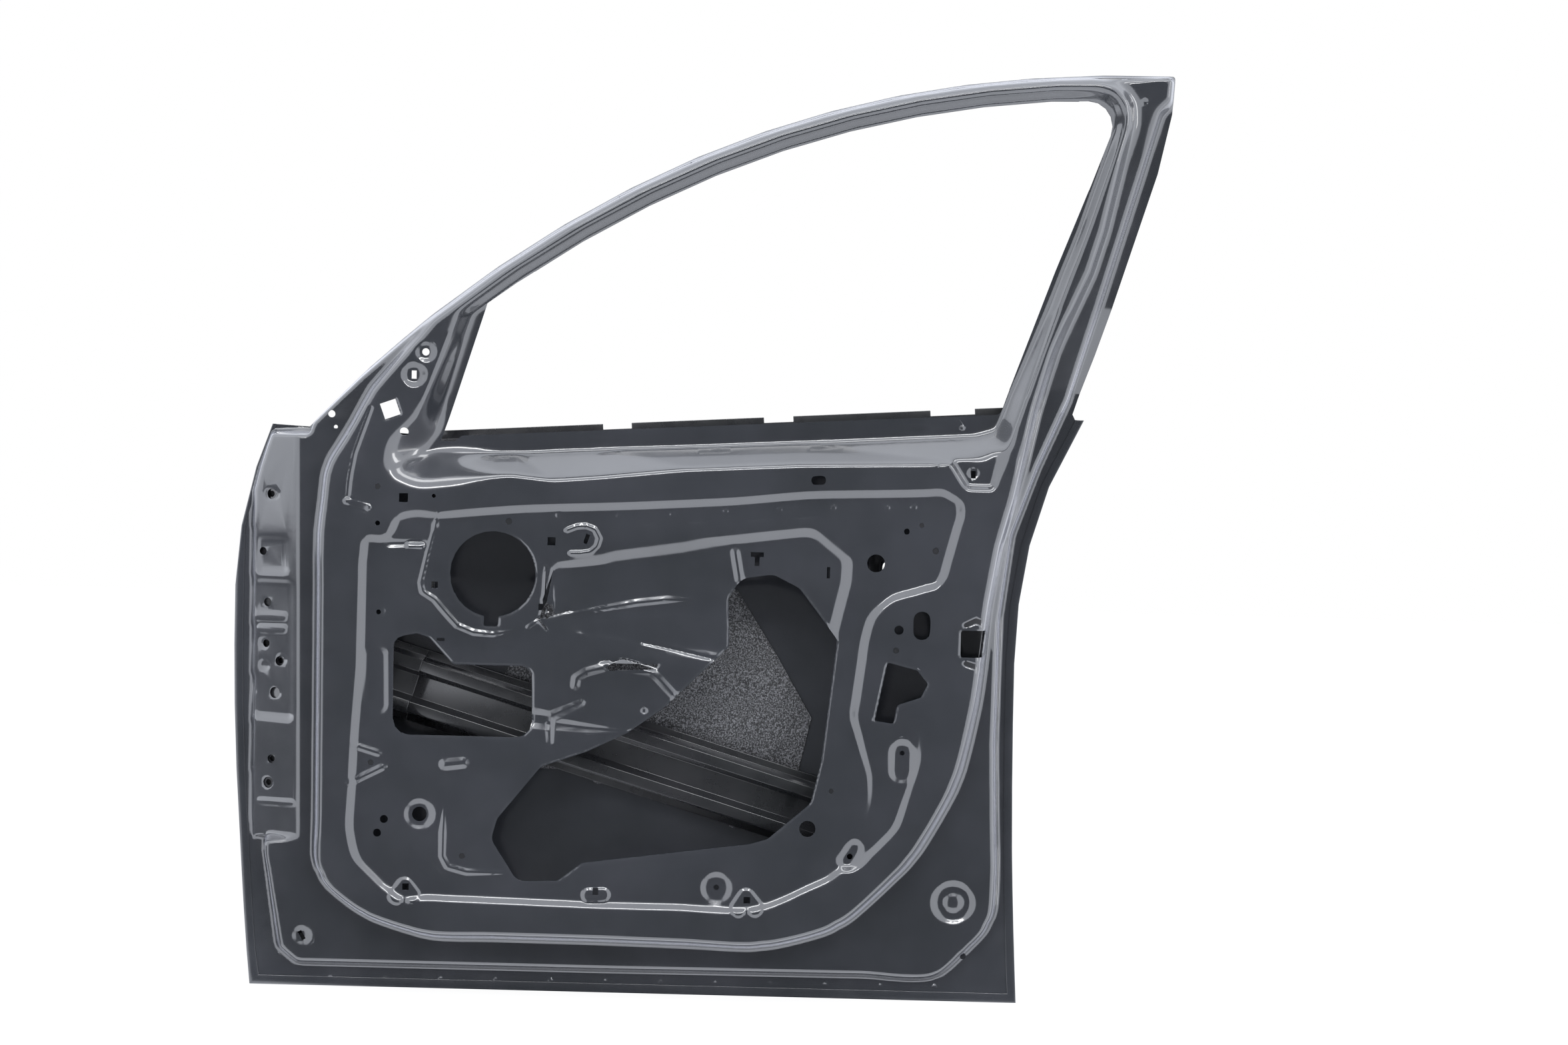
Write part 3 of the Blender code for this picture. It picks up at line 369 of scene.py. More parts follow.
@dataclass(frozen=True)
class ECoat:
    """Black electrocoat on pressed steel: clear gloss over fine peel, with a faint pale sheen that paints in
    the reflection of the bright surroundings on steep walls.

    Args:
        name: Name of the material.
        dark: Darkest colour.
        pale: Palest colour.
        gloss: Least and most roughness.
        peel: Strength of the fine peel.
        clear: Weight of the clear gloss.
        painted_sheen: Weight of the pale lilac sheen, a painted reflection of the surroundings at grazing
            angles.
    """

    name: str
    dark: Triple
    pale: Triple
    gloss: Pair
    peel: float = 0.06
    clear: float = 1.0
    painted_sheen: float = 0.35

    def material(self) -> bpy.types.Material:
        """Build the material.

        Returns:
            The coat as a material.
        """
        nodes = Nodes(self.name)
        clouds = nodes.noise(CLOUDS, 6.0, 0.6)
        nodes.put(nodes.ramp(clouds, [(0.35, self.dark), (0.70, self.pale)]), "Base Color")
        smears = nodes.noise(SMEARS, 5.0, 0.65)
        nodes.put(nodes.spread(smears, *self.gloss), "Roughness")
        waves = nodes.bump(nodes.noise(WAVES, 2.0), 0.08, 0.0004)
        nodes.put(nodes.bump(nodes.noise(PEEL, 3.0), self.peel, 0.0002, waves), "Normal")
        nodes.put(waves, "Coat Normal")
        # Sheen Weight and the lilac Sheen Tint paint in a reflection of the bright surroundings on steep
        # walls; the real coat has no sheen.
        fix(nodes.shader, {"IOR": 1.55, "Coat Weight": self.clear, "Coat IOR": 1.6, "Coat Roughness": 0.07,
                           "Sheen Weight": self.painted_sheen, "Sheen Roughness": 0.30,
                           "Sheen Tint": (0.78, 0.80, 0.92, 1.0)})
        return nodes.material


@dataclass(frozen=True)
class Mastic:
    """Rolled damping sheet and pumped mastic: matt, grainy and speckled.

    Args:
        name: Name of the material.
        dark: Colour of its ground.
        pale: Colour of its specks.
    """

    name: str
    dark: Triple = (0.012, 0.012, 0.013)
    pale: Triple = (0.170, 0.172, 0.182)

    def material(self) -> bpy.types.Material:
        """Build the material.

        Returns:
            The mastic as a material.
        """
        nodes = Nodes(self.name)
        grain = nodes.noise(GRAIN, 4.0, 0.7)
        nodes.put(nodes.ramp(grain, [(0.46, self.dark), (0.62, self.pale)]), "Base Color")
        nodes.put(nodes.spread(nodes.noise(PATCHES, 3.0), 0.5, 0.8), "Roughness")
        nodes.put(nodes.bump(grain, 0.5, 0.0006), "Normal")
        return nodes.material


@dataclass
class PressField:
    """Depth of a pressed sheet over a fine lattice of X and Z.

    Args:
        low: Lowest X and Z of the lattice.
        high: Highest X and Z.
        step: Spacing of the lattice.
    """

    low: Pair
    high: Pair
    step: float = 0.0015
    columns: int = field(init=False)
    rows: int = field(init=False)
    depth: np.ndarray = field(init=False)
    shift: np.ndarray = field(init=False)

    def __post_init__(self) -> None:
        """Size the lattice."""
        self.columns = round((self.high[0] - self.low[0]) / self.step) + 1
        self.rows = round((self.high[1] - self.low[1]) / self.step) + 1
        self.depth = np.full((self.rows, self.columns), np.nan)
        self.shift = np.zeros((2, self.rows, self.columns))

    def places(self, columns: tuple[int, int], rows: tuple[int, int]) -> tuple[np.ndarray, ...]:
        """Find where points of the lattice lie.

        Args:
            columns: First column, and the one after the last.
            rows: First row, and the one after the last.

        Returns:
            X of each point, and Z of each point.
        """
        return tuple(np.meshgrid(*(low + np.arange(*span) * self.step
                                   for low, span in zip(self.low, (columns, rows)))))

    def bow(self, path: Path, near: float = 0.028) -> None:
        """Ask measure() to draw a line of straight runs into one smooth curve.

        Args:
            path: Points of the line in mm.
            near: Distance from the line over which the surface is drawn along.
        """
        points = np.array(path, float) * MM
        runs = np.diff(points, axis=0)
        lengths = np.hypot(runs[:, 0], runs[:, 1])
        headings = np.unwrap(np.arctan2(runs[:, 1], runs[:, 0]))
        turns = np.concatenate(([0.0], np.diff(headings), [0.0]))
        shared = np.concatenate(([0.0], np.minimum(lengths[1:], lengths[:-1]), [0.0]))
        across, up = self.places((0, self.columns), (0, self.rows))
        for i, (start, run, length) in enumerate(zip(points, runs, lengths)):
            ahead = run / length
            along = (across - start[0]) * ahead[0] + (up - start[1]) * ahead[1]
            away = np.abs((up - start[1]) * ahead[0] - (across - start[0]) * ahead[1])
            pull = np.zeros_like(along)
            ends = ((turns[i], shared[i], along), (turns[i + 1], shared[i + 1], length - along))
            for turn, reach, run_in in ends:
                reach = max(min(reach, LONGEST_DRAW), TINY)
                share = np.clip(run_in / reach, 0, 1)
                pull -= reach * turn * DRAW_STRENGTH * share * (1 - share) ** 2
            pull *= np.clip(1 - away / near, 0, 1)
            self.shift[0] -= pull * ahead[1]
            self.shift[1] += pull * ahead[0]

    def measure(self, tree: BVHTree, start: float) -> None:
        """Read the depth of a surface from the cabin side.

        Args:
            tree: Faces of the surface.
            start: Y from which the surface is looked at.
        """
        ahead = Vector((0, 1, 0))
        x, z = np.array(self.places((0, self.columns), (0, self.rows))) - self.shift
        for cell in np.ndindex(self.depth.shape):
            place = tree.ray_cast(Vector((x[cell], start, z[cell])), ahead)[0]
            if place is not None:
                self.depth[cell] = place.y

    def fill(self, rounds: int) -> None:
        """Carry the depth of the rim into holes and past the edge.

        Args:
            rounds: Number of cells to carry it.
        """
        for _ in range(rounds):
            gaps = np.isnan(self.depth)
            if not gaps.any():
                return
            known = np.where(gaps, 0.0, self.depth)
            count = (~gaps).astype(float)
            total = np.zeros_like(known)
            weight = np.zeros_like(known)
            for side in NEIGHBOURS:
                total += np.roll(known, side, (0, 1))
                weight += np.roll(count, side, (0, 1))
            reached = gaps & (weight > 0)
            self.depth[reached] = total[reached] / weight[reached]
        self.depth[np.isnan(self.depth)] = np.nanmedian(self.depth)

    def soften(self, radius: float) -> None:
        """Round every bend.

        Args:
            radius: Spread of the rounding in metres.
        """
        spread = radius / self.step
        reach = math.ceil(spread * 3)
        weights = np.exp(-0.5 * (np.arange(-reach, reach + 1) / spread) ** 2)
        weights /= weights.sum()
        for axis in (0, 1):
            pad = [(reach, reach) if axis == other else (0, 0) for other in (0, 1)]
            wide = np.pad(self.depth, pad, mode="edge")
            size = self.depth.shape[axis]
            self.depth = sum(w * np.take(wide, range(i, i + size), axis) for i, w in enumerate(weights))

    def ease(self, x: float, z: float, reach: float, radius: float) -> None:
        """Round the bends of one place more widely.

        Args:
            x: X of the place in mm.
            z: Z of the place in mm.
            reach: Distance in mm over which the rounding fades out.
            radius: Spread of the rounding in mm.
        """
        edge = (reach + 3 * radius) * MM
        first = [max(0, int((c * MM - edge - low) / self.step)) for c, low in zip((x, z), self.low)]
        last = [int((c * MM + edge - low) / self.step) for c, low in zip((x, z), self.low)]
        window = np.s_[first[1]:last[1], first[0]:last[0]]
        sharp, whole = self.depth[window].copy(), self.depth
        self.depth = sharp.copy()
        self.soften(radius * MM)
        rows, columns = sharp.shape
        across, up = self.places((first[0], first[0] + columns), (first[1], first[1] + rows))
        fade = np.clip(1.6 - 1.6 * np.hypot(across / MM - x, up / MM - z) / reach, 0, 1)
        whole[window] = sharp + (self.depth - sharp) * gentle(fade)
        self.depth = whole

    def erase(self, path: Path, half: float) -> None:
        """Forget the depth along a path, so that fill() draws it anew from both sides.

        Args:
            path: Points in mm; one point clears a round place.
            half: Half width of what is cleared, in mm.
        """
        before = self.depth
        self.depth = np.zeros_like(before)
        self.stamp(list(path), half, 1.0, 0.1)
        self.depth = np.where(self.depth > 0, np.nan, before)

    def stamp(self, path: list[tuple[float, ...]], half: float, depth: float, bank: float,
              crisp: bool = False) -> None:
        """Press a bead, boss or dish along a path.

        Args:
            path: Points in mm, each with its share of the width if that varies; one point makes a round form.
            half: Half width of its flat floor in mm.
            depth: Depth in mm, negative towards the cabin.
            bank: Width of its sloped side in mm.
            crisp: Even slopes that meet in a crease, in place of rounded ones.
        """
        table = np.array(path, float)
        points = table[:, :2] * MM
        widths = table[:, 2] if table.shape[1] > 2 else np.ones(len(table))
        reach = (half + bank) * MM * widths.max() + self.step
        first = np.floor((points.min(0) - reach - self.low) / self.step).astype(int)
        last = np.ceil((points.max(0) + reach - self.low) / self.step).astype(int) + 1
        first = np.maximum(first, 0)
        last = np.minimum(last, (self.columns, self.rows))
        across, up = self.places((first[0], last[0]), (first[1], last[1]))
        away = np.full(across.shape, np.inf)
        share_of_width = np.ones(across.shape)
        last_points = points[1:] if len(points) > 1 else points
        last_widths = widths[1:] if len(points) > 1 else widths
        for start, end, wide, wide_end in zip(points, last_points, widths, last_widths):
            run = end - start
            length = max(float(run @ run), TINY)
            share = np.clip(((across - start[0]) * run[0] + (up - start[1]) * run[1]) / length, 0, 1)
            gap = np.hypot(across - start[0] - share * run[0], up - start[1] - share * run[1])
            width = wide + (wide_end - wide) * share
            share_of_width = np.where(gap / width < away, width, share_of_width)
            away = np.minimum(away, gap / width)
        fade = np.clip((half + bank - away / MM) / bank, 0, 1)
        window = np.s_[first[1]:last[1], first[0]:last[0]]
        self.depth[window] += depth * MM * share_of_width * (fade if crisp else gentle(fade))


@dataclass(frozen=True)
class Form:
    """Small bead, bump or dish, in mm.

    Args:
        half: Half width of its flat floor.
        depth: Depth, negative towards the cabin.
        bank: Width of its sloped side.
        paths: Lines along which it is pressed, each point with its share of the width if that varies.
        crisp: Even slopes that meet in a crease.
    """

    half: float
    depth: float
    bank: float
    paths: tuple[Path, ...]
    crisp: bool = False


# Small forms of the inner panel, as (x, z) in mm or (x, z, share of the width)
PAN_BUMPS = Form(2.0, -0.8, 2.6, tuple(((x, z),) for x, z in (
    (366, -52), (440, -51), (506, -47), (571, -42), (637, -38), (703, -34), (769, -33), (802, -31))))
PAN_SLITS = Form(0.6, 0.6, 1.6, (((466, -59), (486, -59)), ((526, -56), (552, -54)), ((592, -52), (619, -50)),
                                 ((657, -47), (684, -45))))
HORSESHOE = Form(0.6, -1.9, 3.6, (((377, -70), (389, -65), (400, -64), (411, -68), (417, -79), (414, -89),
                                   (406, -96), (393, -98), (382, -98)),))
RAMP_SCOOP = Form(0.3, 2.4, 7.5, (((338, -297, 1.3), (362, -299, 1.0), (400, -281, 0.7)),
                                  ((338, -306, 1.3), (366, -308, 1.2), (407, -312, 0.9), (461, -315, 0.2)),
                                  ((361, -307, 0.9), (362, -330, 0.7))), crisp=True)
FAINT_RINGS = Form(7.0, 0.3, 1.6, (((355, -240),), ((148, -176),)))
CORNER_BEAD = Form(0.3, -2.0, 5.0, (((235, -415, 0.3), (234, -445, 1.0), (234, -474, 0.9), (241, -486, 1.0),
                                     (264, -492, 1.0), (309, -492, 0.5)),), crisp=True)
BRIGHT_FLUTE = Form(0.2, -2.0, 5.6, (((378, -174, 0.3), (418, -166, 0.8), (463, -157, 1.0), (501, -152, 1.0),
                                      (537, -151, 0.2)),), crisp=True)
FAINT_FLUTES = Form(0.3, -0.7, 6.0, (
    ((378, -191, 0.3), (444, -181, 0.6), (488, -176, 0.8), (564, -170, 0.4)),
    ((391, -199, 0.2), (453, -207, 0.6), (519, -216, 0.9), (567, -224, 1.2))), crisp=True)
FLUTE_LINE = Form(0.3, -0.35, 1.6, (((391, -197), (453, -204), (519, -210)),))
SPEAKER_BEAD = Form(0.3, -1.7, 3.8, (((357, -115, 0.3), (362, -161, 0.4), (361, -170, 0.8), (332, -190, 0.8)),
                                     ((219, -52, 0.6), (207, -101, 0.8), (199, -139, 0.9), (202, -150, 1.1),
                                      (217, -159, 1.2), (230, -174, 1.2), (245, -190, 1.2), (265, -198, 1.2),
                                      (289, -200, 1.0), (317, -194, 0.4))), crisp=True)
ARCH = Form(0.3, -2.2, 6.6, (((392, -260), (393, -251), (405, -243), (430, -236), (444, -235), (484, -241),
                              (494, -249), (514, -270)),), crisp=True)
SMALL_DIMPLES = Form(1.8, 1.5, 3.6, (((477, -289),), ((1065, 464),)))
LATCH_CRESCENTS = Form(1.8, 1.8, 3.0, (((869, -174), (881, -168), (894, -173)),
                                       ((870, -221), (883, -225), (893, -220))))
TRIANGLES = Form(7.0, -2.4, 5.0, (((180, -523), (189, -511), (198, -522)),
                                  ((599, -528), (608, -514), (619, -527))))
TRAPEZOID = Form(6.0, -2.4, 4.0, (((415, -517), (432, -516)),))
FRONT_BEADS = Form(0.5, -2.0, 5.0, (((125, -341), (152, -349)), ((119, -386), (158, -366))), crisp=True)
OVAL_BEAD = Form(1.5, -2.4, 7.0, (((235, -361), (257, -358)),), crisp=True)
CONTOUR_LINES = Form(0.6, 0.4, 2.2, (((160, -473), (215, -478), (244, -509), (396, -508)),
                                     ((257, -218), (323, -217), (367, -217), (381, -208)),
                                     ((598, -469), (684, -452), (728, -392))))
FLANGE_BUMPS = Form(1.0, -0.7, 2.4, tuple(((92 + 68.5 * i, -635 + 0.66 * i),) for i in range(12)))
HINGE_DISHES = Form(5.0, 1.8, 4.0, (((-7, -221),), ((19, -240),), ((-6, -249),), ((12, -282),),
                                    ((-3, -34), (4, -34)), ((4, -395),)))
HINGE_PADS = Form(4.0, -1.6, 3.0, (((-17, -189), (20, -188)), ((-12, -204), (20, -203))))
HINGE_STEP = Form(2.0, -1.5, 4.0, (((-7, -421), (39, -419)),))
BELT_BUMPS = Form(1.4, -1.5, 2.5, (((861, 69),), ((828, 21),), ((843, 22),)))
SLOT_DISH = Form(5.0, 1.4, 3.2, (((874, 13),),))
FRONT_LINE = Form(0.8, 1.2, 3.0, (((133, 74), (122, 42), (114, 18), (109, -11), (107, -35)),))
FRONT_DARTS = Form(2.0, -2.2, 3.0, (((107, -41), (133, -48)), ((183, -93), (199, -93))))
PULL_COLUMN = Form(8.0, 1.3, 9.0, (((146, -231), (148, -289)),))
BELT_PADS = Form(0.3, 0.3, 1.0, tuple(
    tuple((x + across, z + up) for across, up in ((-21, -5), (21, -3.6), (21, 5.4), (-21, 4), (-21, -5)))
    for x, z in ((278, 35), (416, 44), (553, 54), (692, 62), (802, 69))))
FINE_FORMS = (PAN_BUMPS, PAN_SLITS, HORSESHOE, RAMP_SCOOP, FAINT_RINGS, CORNER_BEAD, BRIGHT_FLUTE,
              FAINT_FLUTES, FLUTE_LINE, SPEAKER_BEAD, ARCH, SMALL_DIMPLES, LATCH_CRESCENTS, TRIANGLES,
              TRAPEZOID, FRONT_BEADS, OVAL_BEAD, CONTOUR_LINES, FLANGE_BUMPS, HINGE_DISHES, HINGE_PADS,
              HINGE_STEP, BELT_BUMPS, BELT_PADS, SLOT_DISH, FRONT_LINE, FRONT_DARTS, PULL_COLUMN)

# Edges of the land, the shelf and the pan that are drawn into smooth curves
LAND_REAR = ((216, -569), (430, -570), (628, -573), (720, -546), (806, -464), (859, -368), (881, -270),
             (894, -150), (906, -76))
SHELF_CORNER = ((428, -615), (845, -613), (911, -548), (917, -487), (912, -323))
LAND_FRONT = ((136, 96), (103, 37), (82, 0), (74, -81), (80, -430), (83, -500), (138, -545), (216, -569),
              (430, -570))
PAN_EDGE = ((124, -243), (119, -333), (116, -442), (126, -480), (161, -515), (188, -531), (216, -528),
            (429, -532), (622, -532), (719, -487), (748, -452), (762, -396), (761, -362), (738, -289),
            (740, -270), (749, -196), (757, -168), (779, -147), (834, -129), (843, -116), (863, -39),
            (860, -22), (838, -9), (673, -16), (580, -26), (466, -34), (319, -42), (217, -52), (192, -50),
            (169, -56), (153, -82), (129, -84), (124, -112), (124, -243))

# Places rounded more widely: x, z, reach and radius
EASED = ((200, 8, 95, 8.0), (453, -240, 80, 5.0), (353, -160, 75, 9.0), (1030, 455, 70, 4.0),
         (900, 40, 40, 4.0))

# Coarse beads and rings of the CAD panel that the forms above take the place of: path and half width
ERASED = ((((392, -262), (409, -236), (450, -229), (490, -237), (516, -270)), 9.0),
          (((334, -191), (360, -172), (356, -162)), 9.0), (((355, -114), (355, -204)), 14.0),
          (((219, -76), (203, -140), (209, -158), (242, -184), (292, -198)), 8.0),
          (((388, -193), (535, -150)), 7.0), (((382, -176), (508, -173)), 6.0),
          (((395, -200), (560, -226)), 6.0), (((355, -240),), 12.0), (((148, -176),), 11.0),
          (((235, -410), (238, -484), (300, -496)), 9.0), (((231, -347), (278, -357)), 9.0),
          *((((x, z), (x + 42, z + 2)), 6.0) for x, z in (
              (258, 31), (397, 41), (535, 51), (676, 59), (785, 66))))


@dataclass
class PressedPanel:
    """Inner panel as one pressed sheet with rounded bends, cut out along the CAD panel's own holes.

    Args:
        node: CAD node that it stands for.
        sheet: Thickness of the sheet.
        bend: Spread of the rounding of its bends.
        faces: Faces of the skin before it gets its thickness.
        back: Y of the block's flat back.
        margin: Width of the lattice outside the node.
        filled: Cells over which the rims' depth is carried.
        rolled_from: Width from which an opening's rim is rolled.
        rolled_rim: Half width, depth and side of a rolled rim, in mm.
        smallest_hole: Area of the smallest hole that is cut.
        facing: A CAD face with a larger Y in its normal isn't part of the cabin side.
        skin_facing: A face of the cut block with a larger Y in its normal is deleted.
        nearly_round: Largest share by which the corners of a round hole stray.
        stand_off: Distance in front of the door from which its surface is measured.
        through: Reach of the cutters to each side.
        soft: Angle in degrees under which edges are shaded smooth.
    """

    node: str = "inner_panel"
    sheet: float = 0.0008
    bend: float = 0.0026
    faces: int = 90000
    back: float = 0.080
    margin: float = 0.006
    filled: int = 24
    rolled_from: float = 0.022
    rolled_rim: Triple = (0.4, 0.9, 2.4)
    smallest_hole: float = 6e-6
    facing: float = -0.004
    skin_facing: float = -0.02
    nearly_round: float = 0.02
    stand_off: float = 0.1
    through: float = 0.5
    soft: float = 70.0

    def build(self, material: bpy.types.Material) -> bpy.types.Object:
        """Make the panel.

        Args:
            material: Its coat.

        Returns:
            The finished piece.
        """
        surface, loops = self.front_surface()
        low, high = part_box(self.node)
        lattice = PressField((low[0] - self.margin, low[2] - self.margin),
                             (high[0] + self.margin, high[2] + self.margin))
        for line in (LAND_REAR, LAND_FRONT, PAN_EDGE, SHELF_CORNER):
            lattice.bow(line)
        lattice.measure(surface, low[1] - self.stand_off)
        for path, half in ERASED:
            lattice.erase(path, half)
        lattice.fill(self.filled)
        for x, z, reach, radius in EASED:
            lattice.ease(x, z, reach, radius)
        lattice.soften(self.bend)
        self.fine_forms(lattice, loops)
        lattice.soften(lattice.step * 0.6)
        panel = self.block(lattice)
        self.cut(panel, loops)
        self.keep_skin(panel, float(lattice.depth.max()))
        self.lighten(panel)
        self.thicken(panel)
        smooth(panel, self.soft)
        dress(panel, material)
        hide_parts(self.node)
        return panel

    def front_surface(self) -> tuple[BVHTree, list[list[Vector]]]:
        """Find the CAD panel's cabin side and the outlines of its edge and holes.

        Returns:
            The faces of that side, and closed outlines as (x, z) points, the largest first.
        """
        copy = merged_copy(self.node, "panel_guide")
        shape = bmesh.new()
        shape.from_mesh(copy.data)
        bpy.data.objects.remove(copy, do_unlink=True)
        tree = BVHTree.FromBMesh(shape)
        wrong = []
        for face in shape.faces:
            start = face.calc_center_median() - face.normal * JUST_INSIDE
            thin = tree.ray_cast(start, -face.normal, self.sheet * 2)[0] is not None
            if not thin or face.normal.y > self.facing:
                wrong.append(face)
        bmesh.ops.delete(shape, geom=wrong, context="FACES")
        surface = BVHTree.FromBMesh(shape)
        loops = self.outlines(shape)
        shape.free()
        return surface, loops

    def outlines(self, shape: bmesh.types.BMesh) -> list[list[Vector]]:
        """Follow the open edges of a surface.

        Args:
            shape: Open surface.

        Returns:
            Closed outlines as (x, z) points, the largest first.
        """
        ahead: dict[bmesh.types.BMVert, list[bmesh.types.BMVert]] = {}
        for edge in shape.edges:
            if edge.is_boundary:
                loop = edge.link_loops[0]
                ahead.setdefault(loop.link_loop_next.vert, []).append(loop.vert)
        found = []
        while ahead:
            start = next(iter(ahead))
            chain = [start]
            while True:
                choices = ahead[chain[-1]]
                following = choices.pop()
                if not choices:
                    del ahead[chain[-1]]
                if following == start or following not in ahead:
                    break
                chain.append(following)
            points = [Vector((vert.co.x, vert.co.z)) for vert in chain]
            area = abs(sum(a.cross(b) for a, b in zip(points, points[1:] + points[:1]))) / 2
            if area > self.smallest_hole:
                found.append((area, points))
        found.sort(key=lambda pair: -pair[0])
        return [points for _, points in found]

    def rounded_hole(self, points: list[Vector]) -> list[Vector]:
        """Turn a coarse round hole into a fine one; leave other outlines alone.

        Args:
            points: Outline of a hole.

        Returns:
            The outline to cut.
        """
        corners = [p for a, p, b in zip(points[-1:] + points[:-1], points, points[1:] + points[:1])
                   if abs((p - a).normalized().cross((b - p).normalized())) > CORNER_SINE]
        if len(corners) < FEWEST_CORNERS:
            return points
        centre = sum(corners, Vector((0, 0))) / len(corners)
        sizes = [(p - centre).length for p in corners]
        radius = sum(sizes) / len(sizes)
        if max(sizes) - min(sizes) > radius * self.nearly_round:
            return points
        turns = SMALL_SIDES if radius < SMALL_RADIUS else LARGE_SIDES
        return [centre + Vector((math.cos(a), math.sin(a))) * radius
                for a in (2 * math.pi * i / turns for i in range(turns))]

    def fine_forms(self, lattice: PressField, loops: list[list[Vector]]) -> None:
        """Press the small bumps, beads and bosses, and roll the rims of the large openings.

        Args:
            lattice: Depths to change.
            loops: Outline of the edge, of the window and of each hole.
        """
        for form in FINE_FORMS:
            for path in form.paths:
                lattice.stamp(list(path), form.half, form.depth, form.bank, form.crisp)
        for points in loops[2:]:
            across = max(p.x for p in points) - min(p.x for p in points)
            if across > self.rolled_from:
                rim = [(p.x / MM, p.y / MM) for p in points + points[:1]]
                lattice.stamp(rim, *self.rolled_rim)

    def block(self, lattice: PressField) -> bpy.types.Object:
        """Turn the lattice into a closed block: pressed face in front, flat back.

        Args:
            lattice: Depths of the face.

        Returns:
            The block.
        """
        columns, rows = lattice.columns, lattice.rows
        deselect()
        bpy.ops.mesh.primitive_grid_add(x_subdivisions=columns - 1, y_subdivisions=rows - 1, size=1)
        block = bpy.context.object
        block.name = "inner_panel_pressing"
        block.data.name = block.name
        places = np.empty(columns * rows * 3)
        block.data.vertices.foreach_get("co", places)
        places = places.reshape(-1, 3)
        column = np.rint((places[:, 0] + 0.5) * (columns - 1)).astype(int)
        row = np.rint((places[:, 1] + 0.5) * (rows - 1)).astype(int)
        places[:, 0] = lattice.low[0] + column * lattice.step
        places[:, 2] = lattice.low[1] + row * lattice.step
        places[:, 1] = lattice.depth[row, column]
        block.data.vertices.foreach_set("co", places.ravel())
        block.data.update()
        enter("EDIT")
        bpy.ops.mesh.select_all(action="SELECT")
        bpy.ops.mesh.select_mode(type="EDGE")
        bpy.ops.mesh.region_to_loop()
        bpy.ops.mesh.extrude_region_move()
        bpy.ops.transform.resize(value=(1, 0, 1), center_override=(0, self.back, 0))
        bpy.ops.mesh.edge_face_add()
        bpy.ops.mesh.select_all(action="SELECT")
        bpy.ops.mesh.normals_make_consistent(inside=False)
        enter("OBJECT")
        return block

    def prism(self, points: list[Vector], name: str) -> bpy.types.Object:
        """Make a cutter through the block.

        Args:
            points: Outline as (x, z).
            name: Name of the cutter.

        Returns:
            A closed prism along Y.
        """
        shape = bmesh.new()
        ends = [[shape.verts.new((p.x, y, p.y)) for p in points] for y in (-self.through, self.through)]
        shape.faces.new(ends[0])
        shape.faces.new(ends[1])
        for i in range(len(points)):
            shape.faces.new((ends[0][i - 1], ends[0][i], ends[1][i], ends[1][i - 1]))
        bmesh.ops.triangulate(shape, faces=shape.faces[:2])
        bmesh.ops.recalc_face_normals(shape, faces=shape.faces)
        mesh = bpy.data.meshes.new(name)
        shape.to_mesh(mesh)
        shape.free()
        item = bpy.data.objects.new(name, mesh)
        bpy.context.scene.collection.objects.link(item)
        return item

    def cut(self, block: bpy.types.Object, loops: list[list[Vector]]) -> None:
        """Trim the block to the outline and punch every hole.

        Args:
            block: Closed block.
            loops: Outline of the edge, then of each hole.
        """
        edge = self.prism(loops[0], "edge_cutter")
        holes = [self.prism(self.rounded_hole(points), "hole_cutter") for points in loops[1:]]
        deselect()
        for hole in holes:
            hole.select_set(True)
        bpy.context.view_layer.objects.active = holes[0]
        bpy.ops.object.join()
        for cutter, operation in ((edge, "INTERSECT"), (holes[0], "DIFFERENCE")):
            modifier = block.modifiers.new(operation, "BOOLEAN")
            modifier.operation = operation
            modifier.object = cutter
            modifier.solver = "MANIFOLD"
        apply_all(block)
        for cutter in (edge, holes[0]):
            bpy.data.objects.remove(cutter, do_unlink=True)

    def keep_skin(self, block: bpy.types.Object, deepest: float) -> None:
        """Delete the back and the walls of the cuts.

        Args:
            block: Cut block.
            deepest: Largest Y of the pressed face.
        """
        take(block)
        enter("EDIT")
        bpy.ops.mesh.select_mode(type="FACE")
        bpy.ops.mesh.select_all(action="DESELECT")
        enter("OBJECT")
        count = len(block.data.polygons)
        normals = np.empty(count * 3)
        block.data.polygons.foreach_get("normal", normals)
        block.data.polygons.foreach_set("select", normals.reshape(-1, 3)[:, 1] > self.skin_facing)
        enter("EDIT")
        bpy.ops.mesh.delete(type="FACE")
        bpy.ops.mesh.select_mode(type="VERT")
        enter("OBJECT")
        places = np.empty(len(block.data.vertices) * 3)
        block.data.vertices.foreach_get("co", places)
        block.data.vertices.foreach_set("select", places.reshape(-1, 3)[:, 1] > deepest + 0.5 * MM)
        enter("EDIT")
        bpy.ops.mesh.delete(type="VERT")
        bpy.ops.mesh.select_all(action="SELECT")
        bpy.ops.mesh.remove_doubles(threshold=SHEET_MERGE)
        bpy.ops.mesh.quads_convert_to_tris()
        enter("OBJECT")

    def lighten(self, skin: bpy.types.Object) -> None:
        """Thin out the triangles of flat areas.

        Args:
            skin: Open skin.
        """
        modifier = skin.modifiers.new("Flat areas", "DECIMATE")
        modifier.ratio = min(1.0, self.faces / len(skin.data.polygons))
        apply_all(skin)

    def thicken(self, skin: bpy.types.Object) -> None:
        """Give the skin its sheet thickness, away from the cabin.

        Args:
            skin: Open skin.
        """
        modifier = skin.modifiers.new("Sheet", "SOLIDIFY")
        modifier.thickness = self.sheet
        modifier.offset = -1.0
        apply_all(skin)


